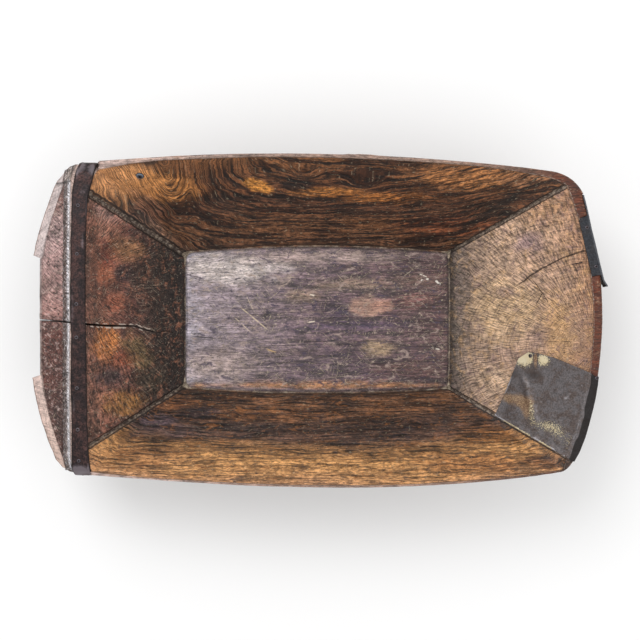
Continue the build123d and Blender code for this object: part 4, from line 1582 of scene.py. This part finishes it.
    def dress(self, piece: Piece, points: Array, zones: Array) -> None:
        """Give the mesh its tone, growth layers, figure, dirt and painted shade, and wear and painted highlight.

        Args:
            piece: the log.
            points: its grid.
            zones: the surface of each point.
        """
        x, y, z = (points[..., i] for i in range(3))
        tone = np.ones((*zones.shape, 4))
        figure = np.zeros(zones.shape)
        for zone in Zone:
            here = zones == zone
            tone[here, :3] = COATS[zone].colour(points[here])
            figure[here] = COATS[zone].figure * eased(tone[here, :3] @ EVEN_LIGHT, 0.3, 0.13)
        plain = (zones == Zone.FAR) * eased(x, *self.plain_x)
        plain *= eased(z + 6 * rough(points, (20, 20, 20), 93), *self.plain_z)
        figure *= 1 - 0.85 * plain
        from_split = y - np.interp(x, self.split_x, self.split_y)
        left_wall = zones == Zone.LEFT
        dirt = 0.75 * bell(from_split, 2.5) * eased(x, *self.split_dirt_x) * (z > 30)
        # painted shadow of the strap on the left wall, beside it
        dirt = np.maximum(dirt, 0.45 * bell(x - self.strap_side_x, 7) * left_wall)
        # pale edges beside the split: chipped wood, with painted highlight on its lit lip
        chipped = 0.3 + 2.0 * rough(points, (3.5, 3.5, 3.5), 92)
        worn = 1.3 * chipped * bell(np.abs(from_split) - 2.6, 1.1) * (x < self.split_dirt_x[1]) * left_wall
        rim = self.rows["rim"]
        lip = np.linalg.norm(points - points[rim.stop][None], axis=-1)
        broken = 0.5 + 0.9 * rough(points, (16, 16, 16), 91)
        # a dark line along the rim's outer edge, broken by noise: painted shade
        dirt = np.maximum(dirt, broken * bell(lip, 1.3) * eased(x, -120, 60) * (zones == Zone.RIM))
        corner_crack = bell(y - self.crack_y, 1.4) * (x < -366)
        beside = bell(x - self.bevel_top_x, 1.6) * (zones == Zone.BEVEL)
        dirt = np.maximum(dirt, np.maximum(corner_crack, 0.8 * beside))
        for edge in (rim.start, rim.stop):
            away = np.linalg.norm(points - points[edge][None], axis=-1)
            worn = np.maximum(worn, 0.5 * bell(away, 1.6))
        tips = points[self.rows["under"].start]
        away = np.linalg.norm(points - tips[None], axis=-1)
        worn = np.maximum(worn, 0.45 * bell(away, 3) * (zones == Zone.LUG))
        depth, ray = self.growth(points, zones)
        carry(piece, layer_depth=depth, ray=ray, figure=figure, worn=worn * (z > 60), dirt=dirt, tone=tone)


# ---- strap over the left end
def bent(corners: Array, radius: float, step: float) -> Array:
    """Straight runs between corners, each corner turned as a smooth bow, with points evenly spaced.

    Args:
        corners: points of the path.
        radius: how far before and after a corner the turn starts and ends.
        step: distance between the points of the result.

    Returns:
        Points along the path.
    """
    q = np.linspace(0, 1, 9)[:, None]
    pieces = [corners[:1]]
    for before, corner, after in zip(corners, corners[1:], corners[2:]):
        start = corner + radius * (before - corner) / np.linalg.norm(before - corner)
        end = corner + radius * (after - corner) / np.linalg.norm(after - corner)
        pieces.append(turned(start, corner, end, q))
    path = np.concatenate([*pieces, corners[-1:]])
    along = np.concatenate([[0], np.cumsum(np.linalg.norm(np.diff(path, axis=0), axis=1))])
    even = np.linspace(0, along[-1], int(along[-1] / step))
    return between(even, along, path)


@dataclass
class Strap:
    """The forged strap: a flat bar with worn round edges, folded down both long sides."""

    thickness: float = 3.0
    fold_radius: float = 5.0
    step: float = 1.6
    around: int = 28
    squareness: Pair = (0.3, 0.6)  # powers that flatten the bar's sides and its faces
    end_shrink: float = 0.93  # size of the last ring before each closed end
    # y and z of the middle of the bar, from the end of the far leg to the end of the near one
    course: tuple[Pair, ...] = (
        (217.8, 138), (237.4, 170), (237.4, 187.5), (220.2, 201.5),
        (-223, 201.5), (-234.2, 187.5), (-234.2, 170), (-215.7, 138),
    )
    # y, and x of the left and the right edge of the strap there
    edges: tuple[Triple, ...] = (
        (-240, -366, -338.5), (-221, -366.7, -339.3), (-195, -366.7, -341.8), (-154, -367.5, -343.5),
        (-85, -368.6, -344.6), (-9, -368.5, -346.2), (24, -369.4, -346.2), (115, -368.9, -346.0),
        (174, -367.6, -343.7), (190, -366.7, -341), (214, -362.5, -334.5), (240, -358.8, -330),
    )

    def build(self) -> Piece:
        """A rounded rectangle (w/2 cos^0.3, t/2 sin^0.6) carried along the folded course, closed at both ends.

        Returns:
            The strap.
        """
        course = bent(np.array(self.course), self.fold_radius, self.step)
        slope = np.gradient(course, axis=0)
        slope /= np.linalg.norm(slope, axis=1, keepdims=True)
        normal = np.stack([slope[:, 1], -slope[:, 0]], axis=1)
        edges = np.array(self.edges)
        left, right = between(course[:, 0], edges[:, 0], edges[:, 1:]).T
        spot = np.column_stack([left, course])
        left = left + 0.7 * rough(spot, (40, 23, 23), 51) + 0.3 * rough(spot, (9, 7, 7), 52)
        right = right + 0.7 * rough(spot, (40, 19, 19), 53) + 0.3 * rough(spot, (9, 8, 8), 54)
        angle = np.linspace(0, 2 * np.pi, self.around, endpoint=False)
        across = np.sign(np.cos(angle)) * np.abs(np.cos(angle)) ** self.squareness[0]
        up = np.sign(np.sin(angle)) * np.abs(np.sin(angle)) ** self.squareness[1]
        shrink = np.ones(len(course))
        shrink[[0, -1]] = 0
        shrink[[1, -2]] = self.end_shrink
        middle, half = (left + right) / 2, (right - left) / 2
        x = middle[:, None] + (half * shrink)[:, None] * across
        thick = self.thickness / 2 * shrink[:, None] * up * (1 - 0.25 * np.abs(across) ** 6)
        yz = course[:, None] + thick[..., None] * normal[:, None]
        points = np.concatenate([x[..., None], yz], axis=-1)
        hammered = 0.28 * rough(points, (19, 15, 15), 55) + 0.16 * rough(points, (7, 6, 6), 56)
        points[..., 1:] += (hammered * (up > 0.3))[..., None] * normal[:, None]
        faces = grid_faces(len(course), self.around, close=True)
        piece = new_piece("end_strap_iron", points, faces.tolist(), STRAP_IRON.make())
        # the folds get a painted sheen, and the bar's side edges painted shade where it meets the wood
        folded = bell(np.abs(points[..., 1]) - 226, 9) * (points[..., 2] > 180)
        carry(
            piece,
            worn=0.6 * folded + 0.2 + 0.5 * rough(points, (3, 40, 40), 57),
            dirt=0.85 * eased(np.abs(across), 0.8, 0.97)[None] * np.ones((len(course), 1)),
        )
        tidy(piece)
        place(piece, "strap_iron", "end_strap")
        return piece


# ---- plate on the right rim
@dataclass
class RimPlate:
    """The folded plate: a leg down the outside, a tab on the rim and a corner bent out past the leg."""

    leg: float = 26.0
    tab: float = 16.0
    tab_start: float = 32.0
    tab_end: float = 122.0
    tab_round: float = 7.0
    spur_start: float = 128.0
    spur_length: float = 4.0
    spur_reach: float = 3.4
    spur_foot_z: float = 186.0
    lip: float = 1.5  # what is left on the rim outside the tab
    top_z: float = 200.0
    fold: float = 2.0  # how far from the fold the sheet is drawn in
    drawn_in: float = 0.5
    ragged_end: float = 1.5  # how far the cut end of the leg strays
    columns: int = 170
    rows: int = 44

    def tab_width(self, start: Array) -> Array:
        """Width on the rim along the plate: only the lip outside the tab, whose far corner is rounded."""
        turn = np.clip(self.tab_round - (start - self.tab_start), 0, self.tab_round)
        width = self.tab - self.tab_round + np.sqrt(self.tab_round**2 - turn**2)
        inside = (start > self.tab_start) & (start < self.tab_end)
        return np.where(inside, width, self.lip)

    def build(self) -> Piece:
        """Rows run up the leg, over the fold and across the tab; the sheet gets its thickness afterwards.

        Returns:
            The plate.
        """
        sheet = PLATE.sheet
        ends = (self.tab_start, self.tab_end)
        start = np.linspace(0, PLATE.length + self.spur_length, self.columns)
        start = np.sort(np.concatenate([start, *[(end - 0.3, end + 0.3) for end in ends]]))
        width = self.tab_width(start)
        along, share = np.meshgrid(start, np.linspace(0, 1, self.rows))
        length = self.leg + width[None]
        run = share * length
        up = run < self.leg
        out = np.where(up, 0.0, -(run - self.leg)) - sheet / 2
        z = np.where(up, self.top_z - self.leg + run, self.top_z) + sheet / 2
        spot = np.stack([along, out, z], axis=-1)
        rounded = self.drawn_in * bell(run - self.leg, self.fold)
        out, z = out - rounded, z - rounded
        bent_out = self.spur_reach * eased(along, self.spur_start, start[-1]) ** 1.4 * eased(z, 180, 199)
        dents = 0.55 * rough(spot, (26, 20, 14), 61) + 0.25 * rough(spot, (9, 9, 7), 62)
        out = out + bent_out + np.where(up, dents, 0)
        z = z + np.where(up, 0, np.abs(dents) * 0.8)
        z = z + 1.2 * rough(spot, (17, 99, 99), 63) * (1 - share) ** 3
        trim = (PLATE.length + self.ragged_end * np.sin(z / 3)) * np.ones_like(along)
        along = np.minimum(along, np.where(z > self.spur_foot_z, along, trim))
        points = PLATE.at(along, out, z)
        points[..., 0] = np.minimum(points[..., 0], CAD_HIGH[0] - sheet / 2)
        piece = new_piece("rim_plate_iron", points, grid_faces(*along.shape).tolist(), PLATE_IRON.make())
        fold = bell(run - self.leg, 3.5)
        carry(piece, worn=0.7 * fold + 0.2 * (run > self.leg))
        thicken(piece, sheet, 0.0)
        place(piece, "plate_iron", "rim_plate")
        return piece


# ---- tin patch, near right corner
@dataclass
class CornerPatch:
    """The tin patch: a leaf on the right wall, folded over the rim and down the outside.

    The inner leaf is a patch of the wall itself, f being the share of the way from the far to the near
    corner and t the share of the way up the wall.
    """

    sheet: float = 0.9
    clearance: float = 1.3
    leaf: float = 46.0
    # height share of the leaf's lower edge, and f of its far edge, each at even steps
    low_t: Numbers = (0.58, 0.518, 0.503, 0.492, 0.48, 0.468, 0.46, 0.45, 0.44, 0.43, 0.42)
    far_f: Numbers = (0.664, 0.65, 0.647, 0.657, 0.674, 0.689)
    # places with paint, stain, painted highlight and painted shade: x and y, reach along both, strength
    paint_spots: tuple[Numbers, ...] = (
        (325, -60, 16, 14, 1.15), (351, -62, 9, 10, 0.95), (340, -62, 2.8, 13, -1.2), (332, -139, 5, 18, 0.64),
        (349, -160, 23, 10, 0.52), (364, -172, 15, 13, 0.4), (384, -188, 14, 16, 0.44),
    )
    stain_spots: tuple[Numbers, ...] = (
        (310, -124, 26, 11, 0.85), (326, -140, 10, 16, 0.8), (340, -62, 2.8, 13, 1.0),
    )
    rubbed_spots: tuple[Numbers, ...] = ((372, -120, 30, 40, 0.08), (352, -128, 16, 16, 0.1))
    smoke_spots: tuple[Numbers, ...] = ((338, -86, 20, 13, 0.5), (308, -84, 12, 18, 0.42))
    crease_at: Pair = (324, -91)
    crease_out: Pair = (0.975, 0.222)  # unit way across the crease
    channel_paint: tuple[Pair, ...] = ((290, 334), (337, 360))  # x of the painted highlight along the turned-up edge at the channel
    reach: float = 90.0  # about its width along the wall
    columns: int = 110
    wall_rows: int = 96
    rim_rows: int = 12
    leaf_rows: int = 34

    def build(self, body: HewnLog) -> Piece:
        """Points of the log's wall, rim and outside, lifted off along their normals and dented.

        Args:
            body: the log that carries it.

        Returns:
            The patch.
        """
        a = np.linspace(0, 1, self.columns)
        b = clustered(self.wall_rows - 1, 0.06)[:, None]
        low = np.interp(a, np.linspace(0, 1, len(self.low_t)), self.low_t)[None]
        t = low + (1 - low) * b
        far = np.interp((t - t.min()) / (1 - t.min()), np.linspace(0, 1, len(self.far_f)), self.far_f)
        f = far + (1 - far) * a
        floor = body.floor_edge.stretch(Side.RIGHT, f)
        rim = body.rim_inside.stretch(Side.RIGHT, f)
        plan = floor + t[..., None] * (rim - floor)
        wall = np.concatenate([plan, (body.floor_z + t * (body.height - body.floor_z))[..., None]], axis=-1)
        shares = clustered(STEPS[Side.RIGHT])
        edge_f = f[-1]
        stretch = slice(FIRST[Side.RIGHT], FIRST[Side.NEAR] + 1)
        outer = body.rim_outside.trace()[stretch]
        chine = body.chine.trace()[stretch]
        outer, chine = (between(edge_f, shares, line) for line in (outer, chine))
        across = np.linspace(0, 1, self.rim_rows + 1)[1:, None, None]
        land = rim[-1] + across * (outer - rim[-1])
        land = np.concatenate([land, np.full((*land.shape[:2], 1), body.height)], axis=-1)
        drop = np.linspace(0, self.leaf, self.leaf_rows + 1)[1:, None]
        below = np.maximum(drop - (body.height - body.band_z), 0) / (body.band_z - body.chine_z)
        down = outer + below[..., None] * (chine - outer)
        down = np.concatenate([down, (body.height - drop * np.ones_like(below * edge_f))[..., None]], axis=-1)
        points = np.concatenate([wall, land, down])
        for _ in range(3):
            points[1:-1] = (points[:-2] + 2 * points[1:-1] + points[2:]) / 4
        a = np.broadcast_to(a, points.shape[:2])
        row = np.arange(len(points))[:, None]
        normals = surface_normals(points)
        dents = 0.9 * rough(points, (21, 24, 18), 71) + 0.45 * rough(points, (8, 9, 8), 72)
        dents += 1.1 * rough(points, (46, 46, 46), 73)
        inner = row < self.wall_rows
        lift = self.clearance + np.maximum(dents + 0.7, -0.3) * np.where(inner, 0.75, 0.45)
        (at_x, at_y), (way_x, way_y) = self.crease_at, self.crease_out
        crease = (points[..., 0] - at_x) * way_x + (points[..., 1] - at_y) * way_y
        lift += 1.5 * bell(crease, 4.5) * eased(points[..., 1], -82, -96) * eased(points[..., 1], -168, -150)
        lift += 1.9 * bell((1 - a) * self.reach, 3.0) * inner * (0.6 + 0.4 * rough(points, (9, 9, 9), 74))
        points = points + lift[..., None] * normals
        faces = grid_faces(*points.shape[:2])[:, ::-1].tolist()
        piece = new_piece("corner_patch_tin", points, faces, PATCH_TIN.make())
        self.dress(piece, points, a, row)
        thicken(piece, self.sheet, 1.0)
        place(piece, "patch_tin", "corner_patch")
        return piece

    def dress(self, piece: Piece, points: Array, a: Array, row: Array) -> None:
        """Rubbed edges with painted sheen and highlights, painted shade on the rim and outside and in dark spots, and
        places with yellow paint, a painted highlight along the channel and brown stain.

        Args:
            piece: the patch.
            points: its grid.
            a: share of the way from its far edge to the channel.
            row: number of each row.
        """
        x, y = points[..., 0], points[..., 1]

        def spots(places: tuple[Numbers, ...]) -> Array:
            """Sum of strength exp(-((x - x0) / rx)^2 - ((y - y0) / ry)^2) over the places."""
            return sum(share * bell(np.hypot((x - x0) / rx, (y - y0) / ry), 1.0) for x0, y0, rx, ry, share in places)

        inner = np.broadcast_to(row < self.wall_rows - 4, x.shape)
        from_channel = (1 - a) * self.reach
        (first, gap), (on, last) = self.channel_paint
        # cream line along the turned-up edge at the channel: a painted highlight, carried with the paint
        turned_up = eased(x, first, first + 7) * eased(x, gap, gap - 8)
        turned_up += eased(x, on, on + 5) * eased(x, last, last - 7)
        # bright fold line at the channel, spots and a general lift: painted sheen and highlights, with rubbing at the
        # lower edge
        rubbed = 0.5 * bell(from_channel, 2.0) + 0.45 * bell(row, 2.0) + 0.2 + spots(self.rubbed_spots)
        rubbed += 0.3 * rough(points, (20, 20, 20), 75) + 0.15 * rough(points, (3.5, 3.5, 3.5), 77)
        carry(
            piece,
            paint=(spots(self.paint_spots) + 0.95 * bell(from_channel, 1.8) * turned_up) * inner,
            stain=spots(self.stain_spots) * inner,
            worn=rubbed * inner + 0.15 * ~inner,
        )
        # the rim and outside are painted dark as shade, where the sheet faces outwards; the dark spots on the leaf are
        # painted shade too
        black = eased(row + 3 * rough(points, (12, 12, 12), 76), self.wall_rows, self.wall_rows + 4)
        carry(piece, soot=np.maximum(black, spots(self.smoke_spots) * inner))


# ---- nails
@dataclass
class Nails:
    """Forged nails at the seats of the CAD nails: domed, uneven heads that have sunk in place."""

    around: int = 20
    rings: int = 11
    rise: float = 1.0
    spread: float = 1.0  # size against the CAD head
    lift: float = 0.15  # the brim over the skin
    sunk: float = 0.6  # the closed underside below it
    worn_ring: Pair = (0.72, 0.17)  # where the head is rubbed, in shares of its radius

    def seats(self, node: str) -> list[tuple[Array, Array, float]]:
        """Middle of the head, way out of it and radius of each nail in a node, from its loose solids.

        Args:
            node: the name of a node of nails.

        Returns:
            One entry for each nail.
        """
        work = bmesh.new()
        work.from_mesh(bpy.data.objects[node].data)
        bmesh.ops.remove_doubles(work, verts=work.verts, dist=0.05 * MM)
        found = []
        left = set(work.verts)
        while left:
            solid, front = set(), [left.pop()]
            while front:
                vert = front.pop()
                solid.add(vert)
                near = {edge.other_vert(vert) for edge in vert.link_edges} - solid
                front.extend(near & left)
                left -= near
            spots = np.array([vert.co[:] for vert in solid]) / MM
            middle = spots.mean(axis=0)
            axis = np.linalg.svd(spots - middle)[2][0]
            height = (spots - middle) @ axis
            span = np.linalg.norm(spots - middle - height[:, None] * axis, axis=1)
            axis = axis * np.sign(height[np.argmax(span)])
            brim = span > 0.9 * span.max()
            found.append((spots[brim].mean(axis=0), axis, float(span.max())))
        work.free()
        return sorted(found, key=lambda seat: tuple(seat[0]))

    def build(self, name: str, node: str, host: Piece, finish: Material) -> Piece:
        """Heads r(1 + noise) wide and rise (1 - (r/R)^2.4) high on the host's skin, closed below.

        Args:
            name: the new piece's name.
            node: the CAD node that it stands for.
            host: what the nails are driven through.
            finish: its material.

        Returns:
            The nails, as one piece.
        """
        angle = np.linspace(0, 2 * np.pi, self.around, endpoint=False)
        share = np.concatenate([np.linspace(0, 1, self.rings), [0.93, 0.0]])
        points, faces = [], []
        skin = host.evaluated_get(bpy.context.evaluated_depsgraph_get())
        for number, (middle, axis, radius) in enumerate(self.seats(node)):
            middle = np.array(skin.closest_point_on_mesh(Vector(middle * MM))[1]) / MM
            side = np.cross(axis, (0.3, 0.5, 0.81))
            side /= np.linalg.norm(side)
            other = np.cross(axis, side)
            ring = np.stack([np.cos(angle), np.sin(angle), np.full(self.around, 3.7 * number)], axis=-1)
            uneven = 1 + 0.1 * rough(ring, (0.9, 0.9, 1), 81) + 0.05 * rough(ring, (0.4, 0.4, 1), 82)
            radial = self.spread * radius * share[:, None] * uneven
            dome = self.rise * (1 - share[:, None] ** 2.4) * np.ones_like(radial) + self.lift
            dome[-2:] = -self.sunk
            dome += 0.15 * rough(np.stack([radial, dome, ring[..., 2] + 0 * radial], axis=-1), (2.2, 2, 1), 83)
            head = middle + dome[..., None] * axis
            head = head + (radial * np.cos(angle))[..., None] * side + (radial * np.sin(angle))[..., None] * other
            faces += (grid_faces(len(share), self.around, close=True) + number * head.size // 3).tolist()
            points.append(head)
        piece = new_piece(name, np.concatenate(points), faces, finish)
        across = np.tile(share[:, None] * np.ones(self.around), (len(points), 1))
        carry(
            piece,
            worn=bell(across - self.worn_ring[0], self.worn_ring[1]),
            dirt=np.maximum(eased(across, 0.42, 0.2), eased(across, 0.88, 0.97)),
        )
        tidy(piece)
        place(piece, "nail_iron", node)
        return piece


# ---- light and camera
@dataclass(frozen=True)
class Studio:
    """Pale floor, soft light from the upper left and a camera that looks straight down."""

    camera: Triple = (0.005, 0.0, 1.7)
    lens: float = 56.25
    sensor: float = 36.0
    sky: float = 0.85
    paper: float = 0.93
    paper_half: float = 6000.0
    paper_gap: float = 0.5  # under the log's foot
    lamps: tuple[tuple[str, Triple, float, float], ...] = (
        ("key_lamp", (-0.9, 1.3, 2.4), 26.0, 1.4),
        ("fill_lamp", (1.2, -1.2, 2.2), 9.1, 2.0),
    )

    def build(self) -> None:
        """Make the floor, the sky, two lamps and the camera."""
        scene = bpy.context.scene
        scene.view_settings.view_transform = "Standard"
        world = bpy.data.worlds.new("soft_sky")
        world.use_nodes = True
        sky = world.node_tree.nodes["Background"].inputs
        sky["Color"].default_value = (1, 1, 1, 1)
        sky["Strength"].default_value = self.sky
        scene.world = world
        paper = Shader("pale_paper")
        paper.feed(paper.surface, Base_Color=(self.paper, self.paper, self.paper, 1), Roughness=0.9)
        corners = np.array([(-1, -1, 0), (1, -1, 0), (1, 1, 0), (-1, 1, 0)]) * self.paper_half
        floor = new_piece("studio_floor", corners - (0, 0, self.paper_gap), [(0, 1, 2, 3)], paper.material)
        for lamp in self.lamps:
            self.lamp(*lamp)
        lens = bpy.data.cameras.new("camera")
        lens.lens = self.lens
        lens.sensor_width = self.sensor
        camera = bpy.data.objects.new("camera", lens)
        camera.location = self.camera
        scene.collection.objects.link(camera)
        scene.camera = camera

    def lamp(self, name: str, spot: Triple, power: float, size: float) -> None:
        """A square lamp that faces the middle of the log.

        Args:
            name: the lamp's name.
            spot: where it hangs, in metres.
            power: in watts.
            size: its side, in metres.
        """
        data = bpy.data.lights.new(name, "AREA")
        data.energy = power
        data.size = size
        lamp = bpy.data.objects.new(name, data)
        lamp.location = spot
        lamp.rotation_euler = (Vector(spot) - Vector((0, 0, 0.1))).to_track_quat("Z", "Y").to_euler()
        bpy.context.scene.collection.objects.link(lamp)


def main() -> None:
    """Build the log, its iron and the studio."""
    logging.basicConfig(level=logging.INFO, format="%(name)s: %(message)s")
    body = HewnLog()
    wood = body.build()
    strap = Strap().build()
    plate = RimPlate().build()
    patch = CornerPatch().build(body)
    black = NAIL_IRON.make()
    small = Nails(spread=0.72)
    for name, node, host in (
        ("strap_nail_heads", "strap_nails", strap),
        ("leg_nail_heads", "strap_leg_nails", strap),
        ("tab_nail_heads", "rim_plate_tab_nails", plate),
        ("face_nail_heads", "rim_plate_face_nails", plate),
        ("patch_nail_heads", "corner_patch_nails", patch),
    ):
        small.build(name, node, host, black)
    Nails(rise=1.9).build("wall_nail_head", "side_wall_nail", wood, WALL_NAIL_IRON.make())
    clench = bpy.data.objects["rim_plate_clench_nail"].data
    clench.materials.clear()
    clench.materials.append(black)
    Studio().build()


if __name__ == "__main__":
    main()
